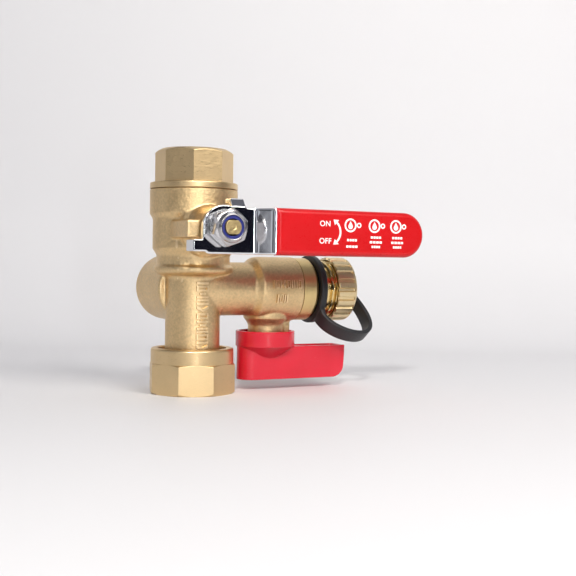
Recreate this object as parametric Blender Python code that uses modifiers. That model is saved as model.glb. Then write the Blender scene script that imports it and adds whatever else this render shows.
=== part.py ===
"""Service valve for a water heater: a full-bore ball valve on the upright run, with a relief port behind it
and a capped drain cock on a side branch.

World frame: metres, +Z up, floor at z = 0, origin under the middle of the whole object.
Valve frame: the same directions, with the upright run's axis at x = y = 0. The drain branch runs along +X,
the main stem points along -Y, and the relief port opens along +Y.
"""

import math

import bmesh
import bpy

MM = 0.001
GAP = 0.3 * MM                     # clearance between neighbouring pieces
ROUND = 32                         # sides of the large turned shapes
FINE = 20                          # sides of the small turned shapes
ASKEW = math.radians(2.0)          # a start that keeps a turned shape's corners off an octagon's

# Upright run
HEIGHT = 108.0 * MM
COLLAR_R, COLLAR_LOW = 19.5 * MM, 79.3 * MM
BARREL_R, BARREL_TOP, BARREL_LOW = 18.15 * MM, 77.2 * MM, 64.0 * MM
NECK_R, NECK_TOP, NECK_LOW = 16.3 * MM, 61.0 * MM, 56.9 * MM
RIM_R, RIM_TOP, RIM_LOW = 17.7 * MM, 55.9 * MM, 54.2 * MM
TUBE_R, TUBE_TOP, TUBE_END = 12.2 * MM, 51.2 * MM, 10.4 * MM
RUN_BORE_R = 8.2 * MM
BODY_TOP = 90.0 * MM
PORT_BORE_R = 12.7 * MM            # tapped 3/4 inch ports, drawn plain
PORT_FLATS = 32.0 * MM             # octagon of the upper end connector
FLANGE_TOP = 93.05 * MM

# Main ball valve
STEM_Z = 72.6 * MM
BALL_R, BALL_PORT_R = 13.2 * MM, 7.8 * MM
BALL_CAVITY_R = 14.9 * MM
SEAT_OUT_R, SEAT_NEAR, SEAT_FAR = 12.6 * MM, 8.6 * MM, 12.4 * MM
SPIGOT_R, SPIGOT_LOW = 16.2 * MM, 81.6 * MM
STEM_R, STEM_END = 3.9 * MM, 44.3 * MM
STEM_FLAT = 3.1 * MM               # half the width across the stem's two flats
BOSS_FACE = 29.0 * MM
PACKING_R = 6.35 * MM

# Lever
PLATE_FACE, PLATE_T = 35.0 * MM, 2.8 * MM
HUB_R = 9.6 * MM
LEVER_LOW, LEVER_HIGH = -11.0 * MM, 8.6 * MM      # edges of the lever arm, from the stem axis
BEND_START, BEND_END, BEND_STEP = 13.8 * MM, 20.2 * MM, 6.8 * MM
GRIP_START, GRIP_TIP, GRIP_R = 20.5 * MM, 94.4 * MM, 10.0 * MM
GRIP_MID = (LEVER_LOW + LEVER_HIGH) / 2
GRIP_PLATE_R = 8.75 * MM
VINYL_T = 0.8 * MM
TAB_DEPTH = 8.5 * MM
EAR_X, EAR_FACE = 14.8 * MM, 30.3 * MM
EAR_LOW, EAR_HIGH = -4.2 * MM, 3.2 * MM           # from the stem axis
NUT_FLATS, NUT_T = 14.0 * MM, 8.0 * MM

# Drain branch
TEE_Z = 46.1 * MM
BRANCH_R, HOUSING_R = 12.1 * MM, 14.8 * MM
HOUSING_START, HOUSING_END = 31.4 * MM, 48.8 * MM
DRAIN_X = 36.1 * MM
DRAIN_BALL_R, DRAIN_PORT_R = 9.0 * MM, 5.2 * MM
DRAIN_SEAT_R, DRAIN_NEAR, DRAIN_FAR = 8.6 * MM, 5.9 * MM, 8.9 * MM
DRAIN_BORE_R = 5.4 * MM
DRAIN_BOSS_R, DRAIN_BOSS_END = 8.05 * MM, 21.6 * MM
DRAIN_STEM_R = 3.1 * MM
NECK_CONE_END, HOSE_COLLAR_R = 55.4 * MM, 14.5 * MM
HOSE_R, HOSE_END = 13.3 * MM, 73.2 * MM
STRAP_GROOVE_R = 12.5 * MM

# Drain lever
CUP_R, CUP_TOP, CUP_LOW, CUP_FLOOR = 13.7 * MM, 27.0 * MM, 20.0 * MM, 19.2 * MM
WING_HALF, WING_LOW, WING_TOP, WING_TIP = 6.4 * MM, 4.8 * MM, 19.8 * MM, 75.6 * MM
WING_WALL = 1.9 * MM
WEB_LOW = 12.9 * MM

# Hose cap and its strap
CAP_START, CAP_END, CAP_R = 67.1 * MM, 77.9 * MM, 15.0 * MM
CAP_FLUTES = 22
STRAP_RING_R, STRAP_RING_START, STRAP_RING_END = 15.9 * MM, 57.3 * MM, 60.6 * MM
STRAP_W, STRAP_T = 7.7 * MM, 1.9 * MM
EYELET_R, EYELET_START, EYELET_END = 4.2 * MM, 79.1 * MM, 81.0 * MM

# Relief port
RELIEF_R, RELIEF_START, RELIEF_END = 15.3 * MM, 2.0 * MM, 33.8 * MM

# Union at the lower end
NUT_BAND_R, NUT_BAND_LOW, NUT_BAND_TOP = 18.45 * MM, 13.4 * MM, 20.05 * MM
UNION_FLATS = 36.6 * MM
UNION_TURN = math.radians(6.6)     # one corner of the octagon, from -Y towards +X
RING_GROOVE_R, RING_Z, RING_WIRE = 11.3 * MM, 13.2 * MM, 1.05 * MM

# Place of the valve frame in the world: the whole object's box is centred on the origin
NUT_REACH = UNION_FLATS / 2 / math.cos(math.pi / 8) * math.cos(UNION_TURN)
RUN_X = (NUT_REACH - GRIP_TIP) / 2
RUN_Y = (STEM_END - RELIEF_END) / 2

ALONG = {                          # rotation that turns local +Z to each direction
    "+Z": (0, 0, 0),
    "-Z": (math.pi, 0, 0),
    "+X": (0, math.pi / 2, 0),
    "+Y": (-math.pi / 2, 0, 0),
    "-Y": (math.pi / 2, 0, 0),
}


# ---------------------------------------------------------------- scene and materials

def clear_scene():
    for obj in list(bpy.data.objects):
        bpy.data.objects.remove(obj, do_unlink=True)
    for mesh in list(bpy.data.meshes):
        bpy.data.meshes.remove(mesh)


def new_collection(name):
    collection = bpy.data.collections.new(name)
    bpy.context.scene.collection.children.link(collection)
    return collection


def make_material(name, color, roughness, metallic):
    mat = bpy.data.materials.new(name)
    mat.use_nodes = True
    shader = mat.node_tree.nodes["Principled BSDF"]
    shader.inputs["Base Color"].default_value = (*color, 1.0)
    shader.inputs["Roughness"].default_value = roughness
    shader.inputs["Metallic"].default_value = metallic
    return mat


clear_scene()
PARTS = new_collection("heater_service_valve")
CUTTERS = new_collection("heater_service_valve_cutters")
CAST_BRASS = make_material("cast_brass", (0.62, 0.46, 0.22), 0.42, 1.0)
BRIGHT_BRASS = make_material("bright_brass", (0.78, 0.57, 0.24), 0.2, 1.0)
CHROME = make_material("chrome_plate", (0.80, 0.80, 0.82), 0.08, 1.0)
RED_VINYL = make_material("red_vinyl", (0.83, 0.03, 0.03), 0.35, 0.0)
RED_PLASTIC = make_material("red_plastic", (0.80, 0.03, 0.06), 0.3, 0.0)
BLACK_RUBBER = make_material("black_rubber", (0.02, 0.02, 0.022), 0.6, 0.0)
WHITE_PTFE = make_material("white_ptfe", (0.90, 0.90, 0.88), 0.5, 0.0)
BLUE_NYLON = make_material("blue_nylon", (0.03, 0.05, 0.30), 0.4, 0.0)
SPRING_STEEL = make_material("spring_steel", (0.55, 0.56, 0.58), 0.3, 1.0)


# ---------------------------------------------------------------- modelling helpers

def make_frame():
    frame = bpy.data.objects.new("valve_frame", None)
    frame.location = (RUN_X, RUN_Y, 0.0)
    bpy.context.scene.collection.objects.link(frame)
    return frame


FRAME = make_frame()


def add_object(name, data, centre, turn, mat):
    """An object in the valve frame. With no material it is a cutter."""
    obj = bpy.data.objects.new(name, data)
    obj.parent = FRAME
    obj.location = centre
    obj.rotation_euler = turn
    if mat is None:
        CUTTERS.objects.link(obj)
        obj.hide_render = True
        obj.display_type = "WIRE"
    else:
        PARTS.objects.link(obj)
        data.materials.append(mat)
    return obj


def turned(name, profile, centre=(0, 0, 0), along="+Z", mat=None, sides=ROUND, start=0.0):
    """Profile of (radius, height) points, down its outer side, turned about the local Z axis from start."""
    closed = profile[0][0] > 0
    count = len(profile)
    edges = [(i, i + 1) for i in range(count - 1)]
    if closed:
        edges.append((count - 1, 0))
    mesh = bpy.data.meshes.new(name)
    mesh.from_pydata([(r * math.cos(start), r * math.sin(start), z) for r, z in profile], edges, [])
    obj = add_object(name, mesh, centre, ALONG[along], mat)
    screw = obj.modifiers.new("turn", "SCREW")
    screw.axis = "Z"
    screw.angle = 2 * math.pi
    screw.steps = sides
    screw.render_steps = sides
    screw.use_merge_vertices = True
    screw.merge_threshold = 0.00001
    screw.use_smooth_shade = True
    return obj


def hollow(name, profile, centre=(0, 0, 0), along="+Z", sides=ROUND):
    """A turned cutter whose corners miss the corners of the shape that it cuts."""
    return turned(name, profile, centre, along, None, sides, 0.37 * 2 * math.pi / sides)


def box(name, low, high, centre=(0, 0, 0), mat=None, bevel=0.0):
    bm = bmesh.new()
    bmesh.ops.create_cube(bm, size=1.0)
    for vert in bm.verts:
        for i in range(3):
            vert.co[i] = low[i] if vert.co[i] < 0 else high[i]
    mesh = bpy.data.meshes.new(name)
    bm.to_mesh(mesh)
    bm.free()
    obj = add_object(name, mesh, centre, (0, 0, 0), mat)
    if bevel > 0:
        add_bevel(obj, bevel)
    return obj


def prism(name, sides, flats, low, high, centre=(0, 0, 0), along="+Z", mat=None, first_corner=0.0):
    """A regular prism; first_corner is the angle of one corner about the local Z axis."""
    bm = bmesh.new()
    radius = flats / 2 / math.cos(math.pi / sides)
    bmesh.ops.create_cone(bm, cap_ends=True, segments=sides, radius1=radius, radius2=radius, depth=high - low)
    bmesh.ops.translate(bm, vec=(0, 0, (high + low) / 2), verts=bm.verts)
    bm.verts.ensure_lookup_table()
    start = math.atan2(bm.verts[0].co.y, bm.verts[0].co.x)
    spin = first_corner - start
    for vert in bm.verts:
        x, y = vert.co.x, vert.co.y
        vert.co.x = x * math.cos(spin) - y * math.sin(spin)
        vert.co.y = x * math.sin(spin) + y * math.cos(spin)
    mesh = bpy.data.meshes.new(name)
    bm.to_mesh(mesh)
    bm.free()
    return add_object(name, mesh, centre, ALONG[along], mat)


def rod(name, radius, low, high, centre=(0, 0, 0), along="+Z", mat=None, sides=FINE):
    profile = [(0, high), (radius, high), (radius, low), (0, low)]
    if mat is None:
        return hollow(name, profile, centre, along, sides)
    return turned(name, profile, centre, along, mat, sides)


def plate(name, outline, low, high, centre=(0, 0, 0), along="+Z", mat=None):
    """A closed flat outline in the local XY plane, extruded from low to high along local Z."""
    curve = bpy.data.curves.new(name, "CURVE")
    curve.dimensions = "2D"
    curve.fill_mode = "BOTH"
    curve.extrude = (high - low) / 2
    curve.render_resolution_u = 0
    spline = curve.splines.new("POLY")
    spline.points.add(len(outline) - 1)
    for point, (x, y) in zip(spline.points, outline):
        point.co = (x, y, 0, 1)
    spline.use_cyclic_u = True
    source = bpy.data.objects.new(name + "_outline", curve)
    bpy.context.scene.collection.objects.link(source)
    mesh = mesh_from(source, name)
    for vert in mesh.vertices:
        vert.co.z += (high + low) / 2
    return add_object(name, mesh, centre, ALONG[along], mat)


def mesh_from(source, name):
    """The evaluated mesh of a curve object, with its caps welded; the curve is removed."""
    graph = bpy.context.evaluated_depsgraph_get()
    mesh = bpy.data.meshes.new_from_object(source.evaluated_get(graph))
    mesh.name = name
    bpy.data.objects.remove(source, do_unlink=True)
    bm = bmesh.new()
    bm.from_mesh(mesh)
    bmesh.ops.remove_doubles(bm, verts=bm.verts, dist=0.000005)
    bmesh.ops.recalc_face_normals(bm, faces=bm.faces)
    bm.to_mesh(mesh)
    bm.free()
    return mesh


def combine(obj, operation, *tools):
    for tool in tools:
        boolean = obj.modifiers.new(tool.name, "BOOLEAN")
        boolean.operation = operation
        boolean.solver = "EXACT"
        boolean.object = tool
    return obj


def add_bevel(obj, width, segments=2, angle=math.radians(40)):
    bevel = obj.modifiers.new("rounded_edges", "BEVEL")
    bevel.width = width
    bevel.segments = segments
    bevel.limit_method = "ANGLE"
    bevel.angle_limit = angle
    bevel.use_clamp_overlap = True
    return obj


def ring_profile(inner, outer, low, high):
    return [(inner, high), (outer, high), (outer, low), (inner, low)]


def arc(centre, radius, start, end, count):
    """Points on an arc, from start to end in degrees."""
    points = []
    for i in range(count + 1):
        a = math.radians(start + (end - start) * i / count)
        points.append((centre[0] + radius * math.cos(a), centre[1] + radius * math.sin(a)))
    return points


def offset_path(path, distance):
    """An open path moved sideways by a distance to its left, with mitred corners."""
    normals = []
    for (x0, y0), (x1, y1) in zip(path, path[1:]):
        length = math.hypot(x1 - x0, y1 - y0)
        normals.append(((y0 - y1) / length, (x1 - x0) / length))
    moved = []
    for i, (x, y) in enumerate(path):
        before = normals[max(i - 1, 0)]
        after = normals[min(i, len(normals) - 1)]
        nx, ny = before[0] + after[0], before[1] + after[1]
        scale = 2 * distance / (nx * nx + ny * ny)
        moved.append((x + nx * scale, y + ny * scale))
    return moved


# ---------------------------------------------------------------- cast body

def run_solid():
    return turned("run_solid", [
        (0, BODY_TOP), (COLLAR_R - 0.3 * MM, BODY_TOP), (COLLAR_R, BODY_TOP - 0.3 * MM),
        (COLLAR_R, COLLAR_LOW), (BARREL_R, BARREL_TOP), (BARREL_R, BARREL_LOW),
        (BARREL_R - 0.5 * MM, BARREL_LOW - 1.6 * MM), (NECK_R, NECK_TOP), (NECK_R, NECK_LOW),
        (RIM_R, RIM_TOP), (RIM_R, RIM_LOW), (RIM_R - 1.2 * MM, RIM_LOW - 1.1 * MM),
        (TUBE_R + 0.8 * MM, TUBE_TOP + 1.0 * MM), (TUBE_R, TUBE_TOP - 0.3 * MM),
        (TUBE_R, RING_Z + 1.4 * MM), (RING_GROOVE_R, RING_Z + 1.4 * MM),
        (RING_GROOVE_R, RING_Z - 1.4 * MM), (TUBE_R, RING_Z - 1.4 * MM),
        (TUBE_R, TUBE_END + 0.4 * MM), (TUBE_R - 0.4 * MM, TUBE_END), (0, TUBE_END),
    ], mat=CAST_BRASS)


def branch_solid():
    return turned("branch_solid", [
        (0, HOUSING_END), (HOUSING_R - 0.3 * MM, HOUSING_END), (HOUSING_R, HOUSING_END - 0.3 * MM),
        (HOUSING_R, HOUSING_START), (HOUSING_R - 0.4 * MM, HOUSING_START - 2.6 * MM),
        (BRANCH_R + 0.4 * MM, HOUSING_START - 5.0 * MM), (BRANCH_R, HOUSING_START - 5.8 * MM),
        (BRANCH_R, 0), (0, 0),
    ], centre=(0, 0, TEE_Z), along="+X")


def drain_boss():
    top = HOUSING_R - 1.0 * MM
    return turned("drain_boss", [
        (0, DRAIN_BOSS_END), (DRAIN_BOSS_R, DRAIN_BOSS_END), (DRAIN_BOSS_R, top + 2.8 * MM),
        (DRAIN_BOSS_R + 0.5 * MM, top + 1.6 * MM), (DRAIN_BOSS_R + 1.8 * MM, top),
        (DRAIN_BOSS_R + 1.8 * MM, 0), (0, 0),
    ], centre=(DRAIN_X, 0, TEE_Z), along="-Z", sides=FINE)


def stem_boss():
    return turned("stem_boss", [
        (0, BOSS_FACE), (8.3 * MM, BOSS_FACE), (8.7 * MM, BOSS_FACE - 0.4 * MM), (9.3 * MM, 22.0 * MM),
        (10.0 * MM, 19.2 * MM), (11.4 * MM, 17.2 * MM), (11.4 * MM, 8.0 * MM), (0, 8.0 * MM),
    ], centre=(0, 0, STEM_Z), along="-Y", sides=FINE)


def relief_boss():
    return turned("relief_boss", [
        (0, RELIEF_END), (RELIEF_R - 0.4 * MM, RELIEF_END), (RELIEF_R, RELIEF_END - 0.4 * MM),
        (RELIEF_R, RELIEF_START + 0.4 * MM), (RELIEF_R - 0.4 * MM, RELIEF_START), (0, RELIEF_START),
    ], centre=(0, 0, TEE_Z), along="+Y")


def stop_ear():
    """The lug beside the main stem that the lever's two tabs come up against."""
    return box("stop_ear", (-EAR_X, -EAR_FACE, EAR_LOW), (-7.6 * MM, -8.0 * MM, EAR_HIGH),
               centre=(0, 0, STEM_Z), bevel=0.4 * MM)


def drain_lug():
    """The lug beside the drain stem that the ribs in the drain lever's cup come up against."""
    return box("drain_lug", (7.8 * MM, -2.0 * MM, 21.5 * MM), (11.8 * MM, 2.0 * MM, TEE_Z - 12.0 * MM),
               centre=(DRAIN_X, 0, 0), bevel=0.3 * MM)


def run_cavity():
    lower_pocket = STEM_Z - SEAT_FAR - GAP
    ball_floor = STEM_Z - SEAT_NEAR + GAP
    spigot_ledge = SPIGOT_LOW - 0.4 * MM
    return hollow("run_cavity", [
        (0, BODY_TOP + 1 * MM), (SPIGOT_R + 0.35 * MM, BODY_TOP + 1 * MM),
        (SPIGOT_R + 0.35 * MM, spigot_ledge), (BALL_CAVITY_R, spigot_ledge), (BALL_CAVITY_R, ball_floor),
        (SEAT_OUT_R + 0.35 * MM, ball_floor), (SEAT_OUT_R + 0.35 * MM, lower_pocket),
        (RUN_BORE_R, lower_pocket), (RUN_BORE_R, TUBE_END - 1 * MM), (0, TUBE_END - 1 * MM),
    ])


def branch_cavity():
    seat_r = DRAIN_SEAT_R + GAP
    pocket = DRAIN_X - DRAIN_FAR - GAP
    return hollow("branch_cavity", [
        (0, HOUSING_END + 1 * MM), (11.35 * MM, HOUSING_END + 1 * MM), (11.35 * MM, DRAIN_X + 5.9 * MM),
        (DRAIN_BALL_R + 0.6 * MM, DRAIN_X + 5.9 * MM), (DRAIN_BALL_R + 0.6 * MM, DRAIN_X - 5.6 * MM),
        (seat_r, DRAIN_X - 5.6 * MM), (seat_r, pocket), (DRAIN_BORE_R, pocket), (DRAIN_BORE_R, 0), (0, 0),
    ], centre=(0, 0, TEE_Z), along="+X", sides=FINE)


def stem_cavity():
    return hollow("stem_cavity", [
        (0, BOSS_FACE + 1 * MM), (PACKING_R, BOSS_FACE + 1 * MM), (PACKING_R, 22.2 * MM),
        (STEM_R + 0.45 * MM, 22.2 * MM), (STEM_R + 0.45 * MM, 17.3 * MM), (6.3 * MM, 17.3 * MM),
        (6.3 * MM, 12.0 * MM), (0, 12.0 * MM),
    ], centre=(0, 0, STEM_Z), along="-Y", sides=FINE)


def drain_stem_cavity():
    return hollow("drain_stem_cavity", [
        (0, DRAIN_BOSS_END + 1 * MM), (3.55 * MM, DRAIN_BOSS_END + 1 * MM), (3.55 * MM, 12.2 * MM),
        (5.0 * MM, 12.2 * MM), (5.0 * MM, 8.0 * MM), (0, 8.0 * MM),
    ], centre=(DRAIN_X, 0, TEE_Z), along="-Z", sides=FINE)


def relief_cavity():
    return hollow("relief_cavity", [
        (0, RELIEF_END + 1 * MM), (PORT_BORE_R + 1.0 * MM, RELIEF_END + 1 * MM),
        (PORT_BORE_R + 1.0 * MM, RELIEF_END), (PORT_BORE_R, RELIEF_END - 1.0 * MM), (PORT_BORE_R, 16.0 * MM),
        (RUN_BORE_R - 0.4 * MM, 13.0 * MM), (RUN_BORE_R - 0.4 * MM, 0), (0, 0),
    ], centre=(0, 0, TEE_Z), along="+Y")


def make_valve_body():
    body = run_solid()
    body.name = "valve_body"
    combine(body, "UNION", branch_solid(), drain_boss(), stem_boss(), relief_boss(), stop_ear(), drain_lug())
    combine(body, "DIFFERENCE", run_cavity(), branch_cavity(), stem_cavity(), drain_stem_cavity(),
            relief_cavity())


# ---------------------------------------------------------------- upper end connector and main seats

def make_end_connector():
    lower = STEM_Z + SEAT_FAR + GAP
    ring = turned("main_end_connector", [
        (0, FLANGE_TOP), (COLLAR_R - 0.3 * MM, FLANGE_TOP), (COLLAR_R, FLANGE_TOP - 0.3 * MM),
        (COLLAR_R, BODY_TOP + GAP), (SPIGOT_R, BODY_TOP + GAP), (SPIGOT_R, SPIGOT_LOW), (0, SPIGOT_LOW),
    ], mat=CAST_BRASS, start=ASKEW)
    octagon = prism("port_octagon", 8, PORT_FLATS, FLANGE_TOP - 0.7 * MM, HEIGHT,
                    first_corner=math.radians(22.5))
    crown = turned("port_crown", [
        (0, HEIGHT + 1 * MM), (14.4 * MM, HEIGHT + 1 * MM), (18.2 * MM, HEIGHT - 2.2 * MM),
        (18.2 * MM, FLANGE_TOP - 2 * MM), (0, FLANGE_TOP - 2 * MM),
    ], start=-ASKEW)
    combine(octagon, "INTERSECT", crown)
    bore = hollow("port_bore", [
        (0, HEIGHT + 1 * MM), (PORT_BORE_R + 1 * MM, HEIGHT + 1 * MM), (PORT_BORE_R + 1 * MM, HEIGHT),
        (PORT_BORE_R, HEIGHT - 1 * MM), (PORT_BORE_R, 92.0 * MM), (RUN_BORE_R, 89.5 * MM),
        (RUN_BORE_R, lower), (SEAT_OUT_R + 0.35 * MM, lower), (SEAT_OUT_R + 0.35 * MM, SPIGOT_LOW - 1 * MM),
        (0, SPIGOT_LOW - 1 * MM),
    ])
    combine(ring, "UNION", octagon)
    combine(ring, "DIFFERENCE", bore)


def seat_profile(ball_r, bore_r, outer_r, near, far):
    """A seat ring at a distance from near to far from the ball's centre, with a conical sealing face."""
    relief = 0.42 * MM
    inner_start = math.sqrt(ball_r ** 2 - bore_r ** 2) + relief
    mouth_r = math.sqrt(ball_r ** 2 - near ** 2) + relief
    return [(bore_r, far), (outer_r, far), (outer_r, near), (mouth_r, near), (bore_r, inner_start)]


def make_seats():
    main = seat_profile(BALL_R, RUN_BORE_R, SEAT_OUT_R, SEAT_NEAR, SEAT_FAR)
    drain = seat_profile(DRAIN_BALL_R, DRAIN_BORE_R, DRAIN_SEAT_R, DRAIN_NEAR, DRAIN_FAR)
    main_centre, drain_centre = (0, 0, STEM_Z), (DRAIN_X, 0, TEE_Z)
    turned("main_seat_upper", main, main_centre, "+Z", WHITE_PTFE, FINE)
    turned("main_seat_lower", main, main_centre, "-Z", WHITE_PTFE, FINE)
    turned("drain_seat_outer", drain, drain_centre, "+X", WHITE_PTFE, FINE)
    inner = turned("drain_seat_inner", drain, drain_centre, "+X", WHITE_PTFE, FINE)
    inner.rotation_euler = (0, -math.pi / 2, 0)


# ---------------------------------------------------------------- main ball, stem and packing

def ball(name, radius, centre):
    bm = bmesh.new()
    bmesh.ops.create_uvsphere(bm, u_segments=20, v_segments=12, radius=radius)
    mesh = bpy.data.meshes.new(name)
    bm.to_mesh(mesh)
    bm.free()
    mesh.shade_smooth()
    return add_object(name, mesh, centre, (0, 0, 0), CHROME)


def make_main_ball():
    centre = (0, 0, STEM_Z)
    sphere = ball("main_ball", BALL_R, centre)
    port = rod("main_ball_port", BALL_PORT_R, -20 * MM, 20 * MM, centre, "+X")
    slot = box("main_ball_slot", (-1.9 * MM, -15 * MM, -9 * MM), (1.9 * MM, -10.9 * MM, 9 * MM), centre)
    combine(sphere, "DIFFERENCE", port, slot)


def stem_flats(name, half_width, low, high, centre, along):
    """Two blocks that leave a stem with two flats, half_width from its axis along world Z or X."""
    reach = 8 * MM
    blocks = []
    for side in (-1, 1):
        inner, outer = side * half_width, side * reach
        outline = [(-reach, min(inner, outer)), (reach, min(inner, outer)),
                   (reach, max(inner, outer)), (-reach, max(inner, outer))]
        blocks.append(plate(f"{name}_{side}", outline, low, high, centre, along))
    return blocks


def make_main_stem():
    centre = (0, 0, STEM_Z)
    stem = turned("main_stem", [
        (0, STEM_END), (STEM_R - 0.7 * MM, STEM_END), (STEM_R, STEM_END - 0.7 * MM), (STEM_R, 16.2 * MM),
        (5.8 * MM, 16.2 * MM), (5.8 * MM, 14.5 * MM), (0, 14.5 * MM),
    ], centre, "-Y", BRIGHT_BRASS, FINE)
    tang = box("main_stem_tang", (-1.55 * MM, -14.9 * MM, -4.5 * MM), (1.55 * MM, -11.3 * MM, 4.5 * MM),
               centre)
    combine(stem, "UNION", tang)
    combine(stem, "DIFFERENCE", *stem_flats("main_stem_flat", STEM_FLAT, 31.8 * MM, 46 * MM, centre, "-Y"))


def make_stem_seals():
    centre = (0, 0, STEM_Z)
    turned("stem_thrust_washer", ring_profile(4.2 * MM, 5.8 * MM, 16.5 * MM, 17.0 * MM), centre, "-Y",
           WHITE_PTFE, FINE)
    turned("stem_packing", ring_profile(4.2 * MM, PACKING_R - GAP, 22.5 * MM, 25.2 * MM), centre, "-Y",
           WHITE_PTFE, FINE)
    gland = rod("packing_gland", PACKING_R - GAP, 25.5 * MM, 29.8 * MM, centre, "-Y", BRIGHT_BRASS)
    head = prism("gland_head", 6, 12.5 * MM, BOSS_FACE + GAP, 31.5 * MM, centre, "-Y")
    bore = rod("gland_bore", STEM_R + 0.35 * MM, 24 * MM, 33 * MM, centre, "-Y")
    combine(gland, "UNION", head)
    combine(gland, "DIFFERENCE", bore)


# ---------------------------------------------------------------- main lever

def lever_side(extra):
    """Side view of the bent strip in x and y, thickened by extra on both faces."""
    face = [(-20 * MM, -PLATE_FACE), (BEND_START, -PLATE_FACE),
            (BEND_END, -PLATE_FACE - BEND_STEP), (GRIP_TIP + 5 * MM, -PLATE_FACE - BEND_STEP)]
    outer = offset_path(face, -extra)
    inner = offset_path(face, PLATE_T + extra)
    outline = outer + inner[::-1]
    return plate("lever_side", outline, -15 * MM, 15 * MM, (0, 0, STEM_Z), "+Z")


def lever_outline():
    """Front view of the lever plate in x and z, from the stem axis."""
    neck = GRIP_START - GAP
    tip = (GRIP_TIP - GRIP_R, GRIP_MID)
    outline = [(-13.9 * MM, -5.0 * MM), (-13.9 * MM, -10.1 * MM), (-8.0 * MM, -10.1 * MM),
               (-7.0 * MM, LEVER_LOW), (neck - 0.6 * MM, LEVER_LOW), (neck, GRIP_MID - GRIP_PLATE_R)]
    outline += arc(tip, GRIP_PLATE_R, -90, 90, 10)
    outline += [(neck, GRIP_MID + GRIP_PLATE_R), (neck - 0.6 * MM, LEVER_HIGH)]
    outline += arc((0, 0), HUB_R, 64, 180, 9)
    outline += [(-HUB_R, -5.0 * MM)]
    return outline


def make_lever_plate():
    """The lever strip with a square stop tab at its low corner and a sloping one on its upper edge."""
    centre = (0, 0, STEM_Z)
    lever = plate("lever_plate", lever_outline(), 30 * MM, 50 * MM, centre, "-Y", CHROME)
    combine(lever, "INTERSECT", lever_side(0.0))
    back = -PLATE_FACE + TAB_DEPTH
    low_tab = box("lever_low_tab", (-13.9 * MM, -PLATE_FACE, -10.1 * MM), (-11.1 * MM, back, -5.0 * MM),
                  centre)
    slope = [(0, 7.8), (0, 9.0), (0.6, 9.9), (2.4, 12.3), (3.2, 12.6), (8.5, 12.6), (8.5, 10.4), (3.9, 10.4),
             (2.8, 7.6)]
    outline = [(-high * MM, behind * MM - PLATE_FACE) for behind, high in slope]
    top_tab = plate("lever_top_tab", outline, 3.5 * MM, 9.6 * MM, centre, "+X")
    combine(lever, "UNION", low_tab, top_tab)
    hole = rod("lever_hole", STEM_R + GAP, 28 * MM, 40 * MM, centre, "-Y")
    flats = stem_flats("lever_hole_flat", STEM_FLAT + GAP, 27 * MM, 41 * MM, centre, "-Y")
    combine(hole, "DIFFERENCE", *flats)
    combine(lever, "DIFFERENCE", hole)


def grip_outline(start, radius):
    tip = (GRIP_TIP - GRIP_R, GRIP_MID)
    return [(start, GRIP_MID - radius)] + arc(tip, radius, -90, 90, 12) + [(start, GRIP_MID + radius)]


def make_lever_sleeve():
    centre = (0, 0, STEM_Z)
    sleeve = plate("lever_sleeve", grip_outline(GRIP_START, GRIP_R), 30 * MM, 50 * MM, centre, "-Y",
                   RED_VINYL)
    combine(sleeve, "INTERSECT", lever_side(GAP + VINYL_T))
    pocket = plate("sleeve_pocket", grip_outline(GRIP_START - 2 * MM, GRIP_PLATE_R + GAP), 30 * MM, 50 * MM,
                   centre, "-Y")
    combine(pocket, "INTERSECT", lever_side(GAP))
    combine(sleeve, "DIFFERENCE", pocket)


def make_lever_nut():
    centre = (0, 0, STEM_Z)
    low = PLATE_FACE + GAP
    high = low + NUT_T
    nut = prism("lever_nut", 6, NUT_FLATS, low, high - 1.6 * MM, centre, "-Y", CHROME, math.radians(21))
    chamfer = turned("nut_chamfer", [
        (0, high), (6.6 * MM, high), (8.3 * MM, high - 2.4 * MM), (8.3 * MM, low + 0.8 * MM),
        (7.1 * MM, low), (0, low),
    ], centre, "-Y", sides=FINE)
    crown = rod("nut_crown", 6.2 * MM, high - 3 * MM, high, centre, "-Y")
    bore = hollow("nut_bore", [
        (0, high + 1 * MM), (4.7 * MM, high + 1 * MM), (4.7 * MM, high - 0.5 * MM),
        (5.5 * MM, high - 0.5 * MM), (5.5 * MM, high - 2.9 * MM), (STEM_R + GAP, high - 2.9 * MM),
        (STEM_R + GAP, low - 1 * MM), (0, low - 1 * MM),
    ], centre, "-Y", sides=FINE)
    combine(nut, "INTERSECT", chamfer)
    combine(nut, "UNION", crown)
    combine(nut, "DIFFERENCE", bore)
    turned("lever_nut_insert", ring_profile(STEM_R + 0.25 * MM, 5.25 * MM, high - 2.65 * MM, high - 0.8 * MM),
           centre, "-Y", BLUE_NYLON, FINE)


# ---------------------------------------------------------------- union

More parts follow.
